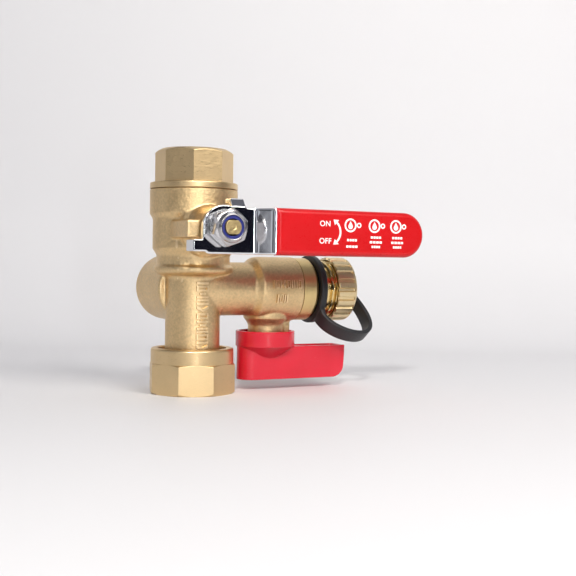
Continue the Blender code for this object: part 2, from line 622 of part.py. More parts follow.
def make_union_nut():
    band = turned("union_nut", [
        (0, NUT_BAND_TOP), (NUT_BAND_R - 1.0 * MM, NUT_BAND_TOP),
        (NUT_BAND_R - 0.3 * MM, NUT_BAND_TOP - 0.3 * MM),
        (NUT_BAND_R, NUT_BAND_TOP - 1.0 * MM), (NUT_BAND_R, NUT_BAND_LOW), (0, NUT_BAND_LOW),
    ], mat=CAST_BRASS)
    octagon = prism("union_octagon", 8, UNION_FLATS, 0, NUT_BAND_LOW + 0.6 * MM,
                    first_corner=UNION_TURN - math.pi / 2)
    foot = hollow("union_foot", [
        (0, NUT_BAND_LOW + 1 * MM), (18.2 * MM, NUT_BAND_LOW + 1 * MM), (19.9 * MM, NUT_BAND_LOW - 0.4 * MM),
        (19.9 * MM, 1.0 * MM), (18.3 * MM, 0), (0, 0),
    ])
    bore = hollow("union_bore", [
        (0, NUT_BAND_TOP + 1 * MM), (15.3 * MM, NUT_BAND_TOP + 1 * MM), (15.3 * MM, 17.2 * MM),
        (TUBE_R + 0.45 * MM, 17.2 * MM), (TUBE_R + 0.45 * MM, RING_Z + 2.1 * MM),
        (14.5 * MM, RING_Z + 2.1 * MM), (14.5 * MM, RING_Z - 2.0 * MM),
        (PORT_BORE_R, RING_Z - 2.0 * MM), (PORT_BORE_R, 1.0 * MM),
        (PORT_BORE_R + 1.0 * MM, 0), (PORT_BORE_R + 1.0 * MM, -1 * MM), (0, -1 * MM),
    ])
    combine(octagon, "INTERSECT", foot)
    combine(band, "UNION", octagon)
    combine(band, "DIFFERENCE", bore)


def make_union_ring():
    """An open wire ring that keeps the nut on the tube."""
    curve = bpy.data.curves.new("union_retaining_ring", "CURVE")
    curve.dimensions = "3D"
    curve.bevel_depth = RING_WIRE
    curve.bevel_resolution = 0
    curve.use_fill_caps = True
    curve.render_resolution_u = 0
    path = arc((0, 0), RING_GROOVE_R + GAP + RING_WIRE, 110, 430, 20)
    spline = curve.splines.new("POLY")
    spline.points.add(len(path) - 1)
    for point, (x, y) in zip(spline.points, path):
        point.co = (x, y, 0, 1)
    add_object("union_retaining_ring", curve, (0, 0, RING_Z), (0, 0, 0), SPRING_STEEL)


def make_union_washer():
    turned("union_washer", ring_profile(RUN_BORE_R + GAP, TUBE_R - 0.1 * MM, TUBE_END - 2.4 * MM,
                                        TUBE_END - 0.4 * MM), mat=BLACK_RUBBER)


# ---------------------------------------------------------------- drain cock

def make_drain_connector():
    turned("drain_end_connector", [
        (9.6 * MM, HOSE_END), (HOSE_R - 0.8 * MM, HOSE_END), (HOSE_R, HOSE_END - 0.8 * MM),
        (HOSE_R, 61.2 * MM), (STRAP_GROOVE_R, 60.9 * MM), (STRAP_GROOVE_R, 57.0 * MM),
        (13.4 * MM, 56.8 * MM), (HOSE_COLLAR_R, NECK_CONE_END), (HOSE_COLLAR_R, HOUSING_END + GAP),
        (11.0 * MM, HOUSING_END + GAP), (11.0 * MM, DRAIN_X + 6.3 * MM),
        (DRAIN_SEAT_R + GAP, DRAIN_X + 6.3 * MM), (DRAIN_SEAT_R + GAP, DRAIN_X + DRAIN_FAR + GAP),
        (DRAIN_BORE_R, DRAIN_X + DRAIN_FAR + GAP), (DRAIN_BORE_R, 50.0 * MM), (9.6 * MM, 53.0 * MM),
    ], centre=(0, 0, TEE_Z), along="+X", mat=BRIGHT_BRASS)


def make_drain_ball():
    centre = (DRAIN_X, 0, TEE_Z)
    sphere = ball("drain_ball", DRAIN_BALL_R, centre)
    port = rod("drain_ball_port", DRAIN_PORT_R, -14 * MM, 14 * MM, centre, "+X")
    slot = box("drain_ball_slot", (-1.4 * MM, -6.5 * MM, -10 * MM), (1.4 * MM, 6.5 * MM, -7.3 * MM), centre)
    combine(sphere, "DIFFERENCE", port, slot)


def make_drain_stem():
    centre = (DRAIN_X, 0, TEE_Z)
    end = TEE_Z - WEB_LOW - GAP
    groove = 2.0 * MM
    profile = [(0, end), (DRAIN_STEM_R - 0.4 * MM, end), (DRAIN_STEM_R, end - 0.4 * MM)]
    for low in (17.4 * MM, 14.0 * MM):
        profile += [(DRAIN_STEM_R, low + 1.6 * MM), (groove, low + 1.6 * MM), (groove, low),
                    (DRAIN_STEM_R, low)]
        turned(f"drain_o_ring_{'lower' if low > 15 * MM else 'upper'}",
               ring_section(2.75 * MM, 0.45 * MM, low + 0.8 * MM), centre, "-Z", BLACK_RUBBER, FINE)
    profile += [(DRAIN_STEM_R, 11.4 * MM), (4.6 * MM, 11.4 * MM), (4.6 * MM, 9.9 * MM), (0, 9.9 * MM)]
    stem = turned("drain_stem", profile, centre, "-Z", BRIGHT_BRASS, FINE)
    tang = box("drain_stem_tang", (-1.1 * MM, -3.0 * MM, -10.2 * MM), (1.1 * MM, 3.0 * MM, -7.6 * MM),
               centre)
    hole = rod("drain_stem_hole", 1.9 * MM, end - 8 * MM, end + 1 * MM, centre, "-Z", sides=16)
    combine(stem, "UNION", tang)
    flats_start = TEE_Z - CUP_FLOOR - 0.5 * MM
    flats = stem_flats("drain_stem_flat", 2.5 * MM, flats_start, end + 1 * MM, centre, "-Z")
    combine(stem, "DIFFERENCE", hole, *flats)
    turned("drain_thrust_washer", ring_profile(3.4 * MM, 4.6 * MM, 11.6 * MM, 11.95 * MM), centre, "-Z",
           WHITE_PTFE, FINE)


def ring_section(major, minor, height, sides=6):
    """Profile of a round ring, clockwise so that it runs down its outer side."""
    points = []
    for i in range(sides):
        a = math.pi / 2 - 2 * math.pi * i / sides
        points.append((major + minor * math.cos(a), height + minor * math.sin(a)))
    return points


def wing_outline(inset, middle, tip):
    """Plan of the drain lever's wing, from the drain stem's axis, with a round end about middle."""
    half = WING_HALF - inset
    corner = 1.5 * MM if inset == 0 else 0.6 * MM
    outline = arc((middle, 0), half, 90, 270, 10)
    outline += arc((tip - corner, -half + corner), corner, -90, 0, 3)
    outline += arc((tip - corner, half - corner), corner, 0, 90, 3)
    return outline


def make_drain_lever():
    centre = (DRAIN_X, 0, 0)
    tip = WING_TIP - DRAIN_X
    lever = turned("drain_lever", [
        (0, CUP_TOP), (CUP_R - 0.3 * MM, CUP_TOP), (CUP_R, CUP_TOP - 0.3 * MM), (CUP_R, CUP_LOW),
        (WING_HALF + 0.2 * MM, CUP_LOW - 5.0 * MM), (WING_HALF, CUP_LOW - 5.4 * MM), (WING_HALF, WING_LOW),
        (0, WING_LOW),
    ], centre, "+Z", RED_PLASTIC, FINE)
    wing = plate("drain_wing", wing_outline(0, WING_HALF - CUP_R, tip), WING_LOW, WING_TOP, centre)
    combine(wing, "INTERSECT", plate("wing_side", wing_side(tip, 0), -10 * MM, 10 * MM, centre, "-Y"))
    trough = plate("wing_trough", wing_outline(WING_WALL, CUP_R + WING_HALF - WING_WALL, tip - WING_WALL),
                   WING_LOW, CUP_TOP, centre)
    side = plate("trough_side", wing_side(tip, WING_WALL), -9 * MM, 9 * MM, centre, "-Y")
    combine(trough, "INTERSECT", side)
    cup = rod("cup_hollow", CUP_R - 1.5 * MM, CUP_FLOOR, CUP_TOP + 1 * MM, centre)
    recess = rod("screw_recess", 4.6 * MM, WING_LOW - 1 * MM, WEB_LOW, centre)
    hole = rod("drain_lever_hole", DRAIN_STEM_R + GAP, WEB_LOW - 1 * MM, CUP_FLOOR + 1 * MM, centre)
    combine(hole, "DIFFERENCE", *stem_flats("drain_hole_flat", 2.5 * MM + GAP, 0, 40 * MM, centre, "+Z"))
    combine(lever, "UNION", wing)
    combine(lever, "DIFFERENCE", trough, cup, recess, hole)
    combine(lever, "UNION", *cup_ribs(centre))


def wing_side(tip, inset):
    """Side view of the wing in x and z, with a rounded lower corner and a slightly slanted tip."""
    corner = 6.0 * MM - inset
    slant = 0.9 * MM
    floor = WING_LOW + inset
    lower_tip = tip - inset - slant
    outline = [(-CUP_R - 2 * MM, CUP_TOP + 1 * MM), (-CUP_R - 2 * MM, floor - 1 * MM)]
    outline += [(lower_tip - 2 * corner, floor - 1 * MM), (lower_tip - 2 * corner, floor)]
    outline += arc((lower_tip - corner, floor + corner), corner, -90, 0, 6)
    outline += [(tip - inset, CUP_LOW), (tip - inset, CUP_TOP + 1 * MM)]
    return outline


def cup_ribs(centre):
    """Two ribs inside the cup, one each side of the body's lug at the two ends of the quarter turn."""
    ribs = []
    for degrees in (-21.5, 111.5):
        inner = arc((0, 0), 8.9 * MM, degrees - 7, degrees + 7, 2)
        outer = arc((0, 0), CUP_R - 0.8 * MM, degrees + 7, degrees - 7, 2)
        ribs.append(plate(f"cup_rib_{len(ribs)}", inner + outer, CUP_FLOOR - 0.5 * MM, 24.0 * MM, centre))
    return ribs


def make_drain_screw():
    top = WEB_LOW - GAP
    screw = turned("drain_lever_screw", [
        (0, top + 6.5 * MM), (1.6 * MM, top + 6.5 * MM), (1.6 * MM, top), (3.7 * MM, top),
        (3.7 * MM, top - 1.4 * MM), (2.8 * MM, top - 2.4 * MM), (0, top - 2.7 * MM),
    ], (DRAIN_X, 0, 0), "+Z", SPRING_STEEL, 20)
    low, high = top - 3 * MM, top - 1.3 * MM
    cross = [box("screw_slot_x", (-2.0 * MM, -0.45 * MM, low), (2.0 * MM, 0.45 * MM, high), (DRAIN_X, 0, 0)),
             box("screw_slot_y", (-0.45 * MM, -2.0 * MM, low), (0.45 * MM, 2.0 * MM, high), (DRAIN_X, 0, 0))]
    combine(screw, "DIFFERENCE", *cross)


# ---------------------------------------------------------------- hose cap and strap

def fluted_outline():
    """The cap's grip: flat-topped ribs with a shallow flute between each pair."""
    depth = 0.9 * MM
    outline = []
    pitch = 360 / CAP_FLUTES
    for i in range(CAP_FLUTES):
        start = i * pitch
        outline += arc((0, 0), CAP_R, start, start + 0.58 * pitch, 1)
        outline += arc((0, 0), CAP_R - depth, start + 0.72 * pitch, start + 0.86 * pitch, 1)
    return outline


def make_hose_cap():
    centre = (0, 0, TEE_Z)
    cap = plate("hose_cap", fluted_outline(), CAP_START, CAP_END, centre, "+X", BRIGHT_BRASS)
    rim = hollow("cap_rim", [
        (0, CAP_END + 1 * MM), (CAP_R - 2.8 * MM, CAP_END + 1 * MM), (CAP_R + 0.3 * MM, CAP_END - 1.4 * MM),
        (CAP_R + 0.3 * MM, CAP_START - 1 * MM), (0, CAP_START - 1 * MM),
    ], centre, "+X", sides=2 * CAP_FLUTES)
    bore = hollow("cap_bore", [
        (0, CAP_END + 1 * MM), (1.9 * MM, CAP_END + 1 * MM), (1.9 * MM, 76.0 * MM), (13.7 * MM, 76.0 * MM),
        (13.7 * MM, CAP_START - 1 * MM), (0, CAP_START - 1 * MM),
    ], centre, "+X")
    combine(cap, "INTERSECT", rim)
    combine(cap, "DIFFERENCE", bore)
    turned("hose_cap_washer", ring_profile(9.8 * MM, 13.3 * MM, HOSE_END + 0.4 * MM, 75.7 * MM), centre, "+X",
           BLACK_RUBBER, FINE)
    turned("strap_rivet", [
        (0, 82.6 * MM), (2.5 * MM, 82.6 * MM), (3.2 * MM, 82.0 * MM), (3.2 * MM, EYELET_END + GAP),
        (1.6 * MM, EYELET_END + GAP), (1.6 * MM, 76.3 * MM), (0, 76.3 * MM),
    ], centre, "+X", BRIGHT_BRASS, 20)


def make_strap_rings():
    centre = (0, 0, TEE_Z)
    turned("strap_neck_ring", ring_profile(STRAP_GROOVE_R + GAP, STRAP_RING_R, STRAP_RING_START,
                                           STRAP_RING_END), centre, "+X", BLACK_RUBBER)
    turned("strap_eyelet", ring_profile(2.0 * MM, EYELET_R, EYELET_START, EYELET_END), centre, "+X",
           BLACK_RUBBER, 20)


def strap_route(t):
    """Middle of the band at t from 0 to 1: distance along the branch, distance from its axis, and angle
    below the horizontal on the front side."""
    start, end = (58.95 * MM, STRAP_RING_R + GAP), (80.1 * MM, EYELET_R + GAP)
    leave, arrive = (58.2 * MM, 27.4 * MM), (97.0 * MM, 37.8 * MM)
    a, b, c, d = (1 - t) ** 3, 3 * t * (1 - t) ** 2, 3 * t * t * (1 - t), t ** 3
    x, r = (a * start[i] + b * leave[i] + c * arrive[i] + d * end[i] for i in (0, 1))
    return x, r, math.radians(48 + 10 * t)


def make_strap_band():
    count = 26
    verts, faces = [], []
    for i in range(count + 1):
        x, r, angle = strap_route(i / count)
        out = (-math.cos(angle), -math.sin(angle))
        across = (math.sin(angle), -math.cos(angle))
        for side in (-1, 1):
            half = side * STRAP_W / 2
            verts.append((x, out[0] * r + across[0] * half, out[1] * r + across[1] * half))
    for i in range(count):
        faces.append((2 * i, 2 * i + 1, 2 * i + 3, 2 * i + 2))
    mesh = bpy.data.meshes.new("strap_band")
    mesh.from_pydata(verts, [], faces)
    band = add_object("strap_band", mesh, (0, 0, TEE_Z), (0, 0, 0), BLACK_RUBBER)
    solidify = band.modifiers.new("thickness", "SOLIDIFY")
    solidify.thickness = STRAP_T
    solidify.offset = 0.0
    solidify.use_even_offset = True


# ---------------------------------------------------------------- whole object

make_valve_body()
make_end_connector()
make_seats()
make_main_ball()
make_main_stem()
make_stem_seals()
make_lever_plate()
make_lever_sleeve()
make_lever_nut()
make_union_nut()
make_union_ring()
make_union_washer()
make_drain_connector()
make_drain_ball()
make_drain_stem()
make_drain_lever()
make_drain_screw()
make_hose_cap()
make_strap_rings()
make_strap_band()
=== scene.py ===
"""Looks for the water heater service valve: fine meshes, materials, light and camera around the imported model.

Shapes are made in the valve frame, in millimetres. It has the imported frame's directions, with the upright
run's axis at x = y = 0. The drain branch runs along +X, the main stem points along -Y, and the relief port
opens along +Y. place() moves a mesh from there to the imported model's frame, in metres.
"""

import math
from contextlib import contextmanager

import bmesh
import bpy
import numpy as np
from mathutils import Matrix, Vector


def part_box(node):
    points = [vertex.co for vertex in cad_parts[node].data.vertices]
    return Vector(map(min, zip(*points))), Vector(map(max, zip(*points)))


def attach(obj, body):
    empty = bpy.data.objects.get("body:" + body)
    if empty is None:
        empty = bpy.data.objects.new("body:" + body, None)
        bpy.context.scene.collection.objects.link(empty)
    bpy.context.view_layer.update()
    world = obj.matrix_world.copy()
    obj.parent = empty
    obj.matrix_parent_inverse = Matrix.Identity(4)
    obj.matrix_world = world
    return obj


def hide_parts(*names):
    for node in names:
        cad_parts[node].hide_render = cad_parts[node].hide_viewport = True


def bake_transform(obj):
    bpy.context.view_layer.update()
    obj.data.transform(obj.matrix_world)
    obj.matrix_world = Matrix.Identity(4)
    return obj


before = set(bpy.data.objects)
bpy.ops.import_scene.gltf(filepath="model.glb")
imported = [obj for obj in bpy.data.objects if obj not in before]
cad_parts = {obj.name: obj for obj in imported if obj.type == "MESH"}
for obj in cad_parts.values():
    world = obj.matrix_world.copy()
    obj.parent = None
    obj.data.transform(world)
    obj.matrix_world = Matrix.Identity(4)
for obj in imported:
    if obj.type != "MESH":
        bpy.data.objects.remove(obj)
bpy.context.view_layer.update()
bpy.context.scene.view_settings.view_transform = "Standard"
MM = 0.001
TAU = 2 * math.pi
GAP = 0.3                          # between pieces that don't touch
WELD, CURVE_WELD = 0.0001, 0.002   # closest that two points of a spun mesh and of a curve's mesh may lie
NEARLY_STRAIGHT = math.radians(88) # half the angle of a corner that is left as it is
NOISE_RANGE = (0.3, 0.7)           # where most of a noise texture's values lie


def node_middle(node):
    low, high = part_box(node)
    return (low + high) / 2


RUN = node_middle("union_washer")
RUN.z = 0.0
TO_FRAME = Matrix.Translation(RUN) @ Matrix.Scale(MM, 4)


def cad_box(node):
    """Low corner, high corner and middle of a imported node's box, in the valve frame."""
    low, high = ((corner - RUN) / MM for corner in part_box(node))
    return low, high, (low + high) / 2


# ------------------------------------------------ dimensions, from the CAD nodes if they have one

HEIGHT = cad_box("main_end_connector")[1].z
COLLAR_R = cad_box("main_end_connector")[1].x - cad_box("main_end_connector")[2].x
COLLAR_LOW, BODY_TOP, FLANGE_TOP = 79.3, 90.0, 93.05
BARREL_R, BARREL_TOP, BARREL_LOW = 18.15, 77.2, 64.0
NECK_R, NECK_TOP, NECK_LOW = 16.3, 61.0, 56.9
RIM_R, RIM_TOP, RIM_LOW = 17.7, 55.9, 54.2
TUBE_R, TUBE_TOP, TUBE_END = 12.2, 51.2, 10.4
RUN_BORE_R, PORT_BORE_R = 8.2, 12.7
PORT_FLATS = 32.0
PORT_PITCH, PORT_THREAD = 1.8143, 0.75    # 14 threads to the inch, and their depth

STEM_Z = cad_box("main_ball")[2].z
BALL_R, BALL_PORT_R, BALL_CAVITY_R = 13.2, 7.8, 14.9
SEAT_OUT_R, SEAT_NEAR, SEAT_FAR = 12.6, 8.6, 12.4
SPIGOT_R, SPIGOT_LOW = 16.2, 81.6
STEM_R, STEM_END, STEM_FLAT = 3.9, 44.3, 3.1
STEM_PITCH, STEM_THREAD = 1.25, 0.42
BOSS_FACE, PACKING_R = 29.0, 6.35
EAR_LOW, EAR_HIGH = (-14.8, -30.3, -4.2), (-7.6, -8.0, 3.2)

PLATE_FACE, PLATE_T, HUB_R = 35.0, 2.8, 9.6
LEVER_LOW, LEVER_HIGH = -11.0, 8.6
BEND_START, BEND_END, BEND_STEP = 13.8, 20.2, 6.8
GRIP_START, GRIP_R, GRIP_PLATE_R = 20.5, 10.0, 8.75
GRIP_TIP = cad_box("lever_sleeve")[1].x
GRIP_MID = (LEVER_LOW + LEVER_HIGH) / 2
VINYL_T, INK_T = 0.8, 0.03
TAB_LEFT, TAB_LOW, TAB_TOP, TAB_DEPTH = -13.9, -10.1, -5.0, 8.5    # the lever's lower stop tab
GRIP_FACE = PLATE_FACE + BEND_STEP + GAP + VINYL_T
NUT_FLATS, NUT_CROWN = 14.0, 44.0

DRAIN_X, TEE_Z = cad_box("drain_ball")[2].xz
BRANCH_R, HOUSING_R = 12.1, 14.8
HOUSING_START, HOUSING_END = 31.4, 48.8
DRAIN_BALL_R, DRAIN_PORT_R, DRAIN_BORE_R = 9.0, 5.2, 5.4
DRAIN_SEAT_R, DRAIN_NEAR, DRAIN_FAR = 8.6, 5.9, 8.9
DRAIN_BOSS_R, DRAIN_BOSS_END, DRAIN_STEM_R = 8.05, 21.6, 3.1
HOSE_R, HOSE_END, HOSE_PITCH, HOSE_THREAD = 13.3, 73.2, 2.209, 1.15
NECK_CONE_END, HOSE_COLLAR_R, STRAP_GROOVE_R = 55.4, 14.5, 12.5

CUP_R, CUP_TOP, CUP_LOW, CUP_FLOOR = 13.7, 27.0, 20.0, 19.2
WING_HALF, WING_LOW, WING_TOP = 6.4, 4.8, 19.8
WING_TIP = cad_box("drain_lever")[1].x - DRAIN_X
WING_WALL, WEB_LOW = 1.9, 12.9
WING_CORNER, WING_SLANT = 6.0, 0.9

CAP_START, CAP_END, CAP_R, CAP_FLUTES = 67.1, 77.9, 15.0, 22
CAP_BORE_R, CAP_FLOOR, RIVET_R = 13.7, 76.0, 3.2
STRAP_RING_R, STRAP_RING_START, STRAP_RING_END = 15.9, 57.3, 60.6
STRAP_W, STRAP_T, STRAP_LENGTH = 7.7, 1.9, 52.0
STRAP_FROM, STRAP_TO = -0.022, 1.02       # parts of its length where the band's mesh starts and ends
STRAP_STEP = 0.004                        # part of its length over which its direction is taken
EYELET_R, EYELET_START, EYELET_END = 4.2, 79.1, 81.0

RELIEF_R, RELIEF_START, RELIEF_END = 15.3, 2.0, 33.8
NUT_BAND_R, NUT_BAND_LOW, NUT_BAND_TOP = 18.45, 13.4, 20.05
UNION_FLATS, UNION_TURN = 36.6, math.radians(6.6)
UNION_CORNER_R, UNION_FACE_R, UNION_MOUTH_R, UNION_POCKET_R = 19.95, 18.4, 15.3, 14.5
RING_GROOVE_R, RING_Z, RING_WIRE = 11.3, 13.2, 1.05
TUBE_MARKS_START = 19.6
MARK_HALF, MARK_HEIGHT = 2.7, 0.9         # half the width of the tube's cast marks, and the height of all

ALONG = {
    "+Z": Matrix.Identity(4),
    "-Z": Matrix.Rotation(math.pi, 4, "X"),
    "+X": Matrix.Rotation(math.pi / 2, 4, "Y"),
    "-X": Matrix.Rotation(-math.pi / 2, 4, "Y"),
    "+Y": Matrix.Rotation(-math.pi / 2, 4, "X"),
    "-Y": Matrix.Rotation(math.pi / 2, 4, "X"),
}
STEM_C = (0, 0, STEM_Z)
TEE_C = (0, 0, TEE_Z)
DRAIN_C = (DRAIN_X, 0, TEE_Z)


# ------------------------------------------------ mesh helpers

def link(name, mesh):
    obj = bpy.data.objects.new(name, mesh)
    bpy.context.scene.collection.objects.link(obj)
    return obj


@contextmanager
def edited(mesh):
    """The mesh opened as a bmesh, and written back afterwards."""
    bm = bmesh.new()
    bm.from_mesh(mesh)
    yield bm
    bm.to_mesh(mesh)
    bm.free()


def merged(name, parts):
    """One object from several, which are used up."""
    mesh = bpy.data.meshes.new(name)
    with edited(mesh) as bm:
        for part in parts:
            bm.from_mesh(part.data)
            bpy.data.objects.remove(part, do_unlink=True)
    return link(name, mesh)


def place(mesh, centre, along):
    """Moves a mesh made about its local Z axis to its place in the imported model's frame."""
    mesh.transform(TO_FRAME @ Matrix.Translation(centre) @ ALONG[along])


def arc(centre, radius, start, end, count):
    angles = [math.radians(start + (end - start) * i / count) for i in range(count + 1)]
    return [(centre[0] + radius * math.cos(a), centre[1] + radius * math.sin(a)) for a in angles]


def filleted(points, closed=True, segments=5):
    """Rounds each corner of a flat path. A point is (x, y) for a sharp corner or (x, y, fillet radius)."""
    path = []
    count = len(points)
    for i, point in enumerate(points):
        here = Vector(point[:2])
        before = Vector(points[i - 1][:2]) - here
        after = Vector(points[(i + 1) % count][:2]) - here
        inner = closed or 0 < i < count - 1
        half = before.angle(after) / 2 if len(point) > 2 and inner else math.pi / 2
        if half > NEARLY_STRAIGHT:
            path.append(tuple(here))
            continue
        cut = min(point[2] / math.tan(half), 0.49 * before.length, 0.49 * after.length)
        radius = cut * math.tan(half)
        middle = here + (before.normalized() + after.normalized()).normalized() * radius / math.sin(half)
        first, last = here + before.normalized() * cut - middle, here + after.normalized() * cut - middle
        sweep = math.atan2(first.x * last.y - first.y * last.x, first.dot(last))
        for k in range(segments + 1):
            a = sweep * k / segments
            c, s = math.cos(a), math.sin(a)
            path.append((middle.x + first.x * c - first.y * s, middle.y + first.x * s + first.y * c))
    return path


def dense(path, step, closed=True):
    """Adds points so that no stretch of the path is longer than step."""
    out = []
    for a, b in zip(path, path[1:] + path[:1] if closed else path[1:]):
        pieces = max(1, math.ceil(math.dist(a, b) / step))
        for k in range(pieces):
            t = k / pieces
            out.append((a[0] + (b[0] - a[0]) * t, a[1] + (b[1] - a[1]) * t))
    return out if closed else out + [path[-1]]


def spun(name, path, centre=(0, 0, 0), along="+Z", steps=96, shape=None, start=0.0):
    """A closed mesh from a path of (radius, height) points, down its outer side, turned about local Z.
    shape(radius, angle, height), on arrays, changes the radius, for flats and threads."""
    rows = len(path)
    closed = min(r for r, height in path) > WELD
    angle = start + TAU * np.arange(steps) / steps
    radius, turn = np.meshgrid([p[0] for p in path], angle, indexing="ij")
    height = np.repeat(np.array([[p[1]] for p in path], float), steps, axis=1)
    if shape is not None:
        radius = np.where(radius > WELD, shape(radius, turn, height), 0.0)
    verts = np.stack([radius * np.cos(turn), radius * np.sin(turn), height], -1).reshape(-1, 3)
    faces = []
    for i in range(rows if closed else rows - 1):
        a, b = i * steps, ((i + 1) % rows) * steps
        for k in range(steps):
            m = (k + 1) % steps
            faces.append((a + k, b + k, b + m, a + m))
    mesh = bpy.data.meshes.new(name)
    mesh.from_pydata(verts.tolist(), [], faces)
    if not closed:
        with edited(mesh) as bm:
            bmesh.ops.remove_doubles(bm, verts=bm.verts, dist=WELD)
            bmesh.ops.dissolve_degenerate(bm, edges=bm.edges, dist=WELD)
    place(mesh, centre, along)
    mesh.shade_smooth()
    return link(name, mesh)


def polygon_radius(angle, sides, flats, corner):
    """Distance to the side of a regular polygon at each angle."""
    part = TAU / sides
    return flats / 2 / np.cos(np.mod(angle - corner, part) - part / 2)


def soft_min(a, b, blend):
    near = np.maximum(blend - np.abs(a - b), 0) / blend
    return np.minimum(a, b) - near * near * blend / 4


def smooth_step(value):
    """Rises smoothly from 0 to 1 as the value does, and is level outside."""
    value = np.clip(value, 0, 1)
    return value * value * (3 - 2 * value)


def helix(angle, height, pitch, low, high, depth):
    """Thread height at each point: a rounded 60 degree profile that runs out over one pitch at both ends."""
    turn = np.mod(height / pitch - angle / TAU, 1.0)
    wave = smooth_step((1.85 - np.abs(turn - 0.5) * 4.4) / 1.15)
    return depth * wave * np.clip((height - low) / pitch, 0, 1) * np.clip((high - height) / pitch, 0, 1)


def add_path(curve, points, cyclic=True):
    spline = curve.splines.new("POLY")
    spline.points.add(len(points) - 1)
    for point, (x, y) in zip(spline.points, points):
        point.co = (x, y, 0, 1)
    spline.use_cyclic_u = cyclic


def curve_mesh(name, curve):
    source = link(name + "_curve", curve)
    graph = bpy.context.evaluated_depsgraph_get()
    mesh = bpy.data.meshes.new_from_object(source.evaluated_get(graph))
    bpy.data.objects.remove(source, do_unlink=True)
    with edited(mesh) as bm:
        bmesh.ops.remove_doubles(bm, verts=bm.verts, dist=CURVE_WELD)
        bmesh.ops.recalc_face_normals(bm, faces=bm.faces)
    mesh.name = name
    return mesh


def outline_plate(name, outlines, low, high, centre=(0, 0, 0), along="+Z", edge=0.0, edge_steps=3,
                  smooth=True):
    """Flat outlines extruded from low to high, with their long edges rounded by edge."""
    curve = bpy.data.curves.new(name, "CURVE")
    curve.dimensions = "2D"
    curve.fill_mode = "BOTH"
    curve.extrude = (high - low) / 2 - edge
    curve.bevel_depth = edge
    curve.bevel_resolution = edge_steps
    curve.offset = -edge
    for outline in outlines:
        add_path(curve, outline)
    mesh = curve_mesh(name, curve)
    mesh.transform(Matrix.Translation((0, 0, (high + low) / 2)))
    place(mesh, centre, along)
    if smooth:
        mesh.shade_smooth()
    return link(name, mesh)


def block(name, low, high, centre=(0, 0, 0), edge=0.0):
    mesh = bpy.data.meshes.new(name)
    with edited(mesh) as bm:
        bmesh.ops.create_cube(bm, size=1.0)
        for vert in bm.verts:
            for i in range(3):
                vert.co[i] = low[i] if vert.co[i] < 0 else high[i]
        if edge > 0:
            bmesh.ops.bevel(bm, geom=bm.edges[:], offset=edge, segments=4, profile=0.5, affect="EDGES")
    place(mesh, centre, "+Z")
    return link(name, mesh)


def bake(obj):
    """Replaces an object's mesh with its evaluated mesh, and clears its modifiers."""
    graph = bpy.context.evaluated_depsgraph_get()
    mesh = bpy.data.meshes.new_from_object(obj.evaluated_get(graph))
    old = obj.data
    obj.modifiers.clear()
    obj.data = mesh
    bpy.data.meshes.remove(old)


def combine(obj, operation, *tools):
    """Boolean with each tool in turn; the tools are used up."""
    for tool in tools:
        boolean = obj.modifiers.new(tool.name, "BOOLEAN")
        boolean.operation = operation
        boolean.solver = "MANIFOLD"
        boolean.object = tool
        bake(obj)
        bpy.data.objects.remove(tool, do_unlink=True)


def fuse(name, parts, voxel, smoothing):
    """One closed skin over overlapping solids, with its corners softened, as a casting or a moulding has."""
    obj = merged(name, parts)
    skin = obj.modifiers.new("skin", "REMESH")
    skin.mode = "VOXEL"
    skin.voxel_size = voxel * MM
    soften = obj.modifiers.new("soften", "SMOOTH")
    soften.factor = 0.5
    soften.iterations = smoothing
    bake(obj)
    obj.data.shade_smooth()
    return obj


def finish_piece(obj, body, node, look, sharp=None):
    """Gives a piece its body, the node that it replaces, its look, and sharp edges above an angle."""
    slot, material = look
    if sharp is not None:
        obj.data.shade_smooth()
        obj.data.set_sharp_from_angle(angle=math.radians(sharp))
        obj.modifiers.new("even_shading", "WEIGHTED_NORMAL").keep_sharp = True
    obj.data.materials.clear()
    obj.data.materials.append(material)
    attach(obj, body)
    if node is not None:
        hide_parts(node)


# ------------------------------------------------ materials

def new_material(name, color, roughness, metallic):
    mat = bpy.data.materials.new(name)
    mat.use_nodes = True
    shader = mat.node_tree.nodes["Principled BSDF"]
    shader.inputs["Base Color"].default_value = (*color, 1.0)
    shader.inputs["Roughness"].default_value = roughness
    shader.inputs["Metallic"].default_value = metallic
    return mat, mat.node_tree, shader


def add_node(tree, kind, **values):
    made = tree.nodes.new(kind)
    for key, value in values.items():
        if key in made.inputs:
            made.inputs[key].default_value = value
        else:
            setattr(made, key, value)
    return made


def map_range(tree, source, start, end, low=0.0, high=1.0, kind="LINEAR"):
    made = add_node(tree, "ShaderNodeMapRange", interpolation_type=kind)
    for key, value in (("From Min", start), ("From Max", end), ("To Min", low), ("To Max", high)):
        made.inputs[key].default_value = value
    tree.links.new(source, made.inputs["Value"])
    return made.outputs["Result"]


def spread(tree, source, low, high):
    """Maps the range that a noise mostly covers to low..high."""
    return map_range(tree, source, *NOISE_RANGE, low, high)


def math_of(tree, operation, a, b):
    made = add_node(tree, "ShaderNodeMath", operation=operation)
    tree.links.new(a, made.inputs[0])
    tree.links.new(b, made.inputs[1])
    return made.outputs["Value"]


def mixed(tree, factor, a, b):
    """Mixes from colour a to colour b, each a node's output or three numbers."""
    made = add_node(tree, "ShaderNodeMix", data_type="RGBA")
    for socket, value in ((made.inputs[6], a), (made.inputs[7], b)):
        if isinstance(value, tuple):
            socket.default_value = (*value, 1)
        else:
            tree.links.new(value, socket)
    tree.links.new(factor, made.inputs["Factor"])
    return made.outputs[2]


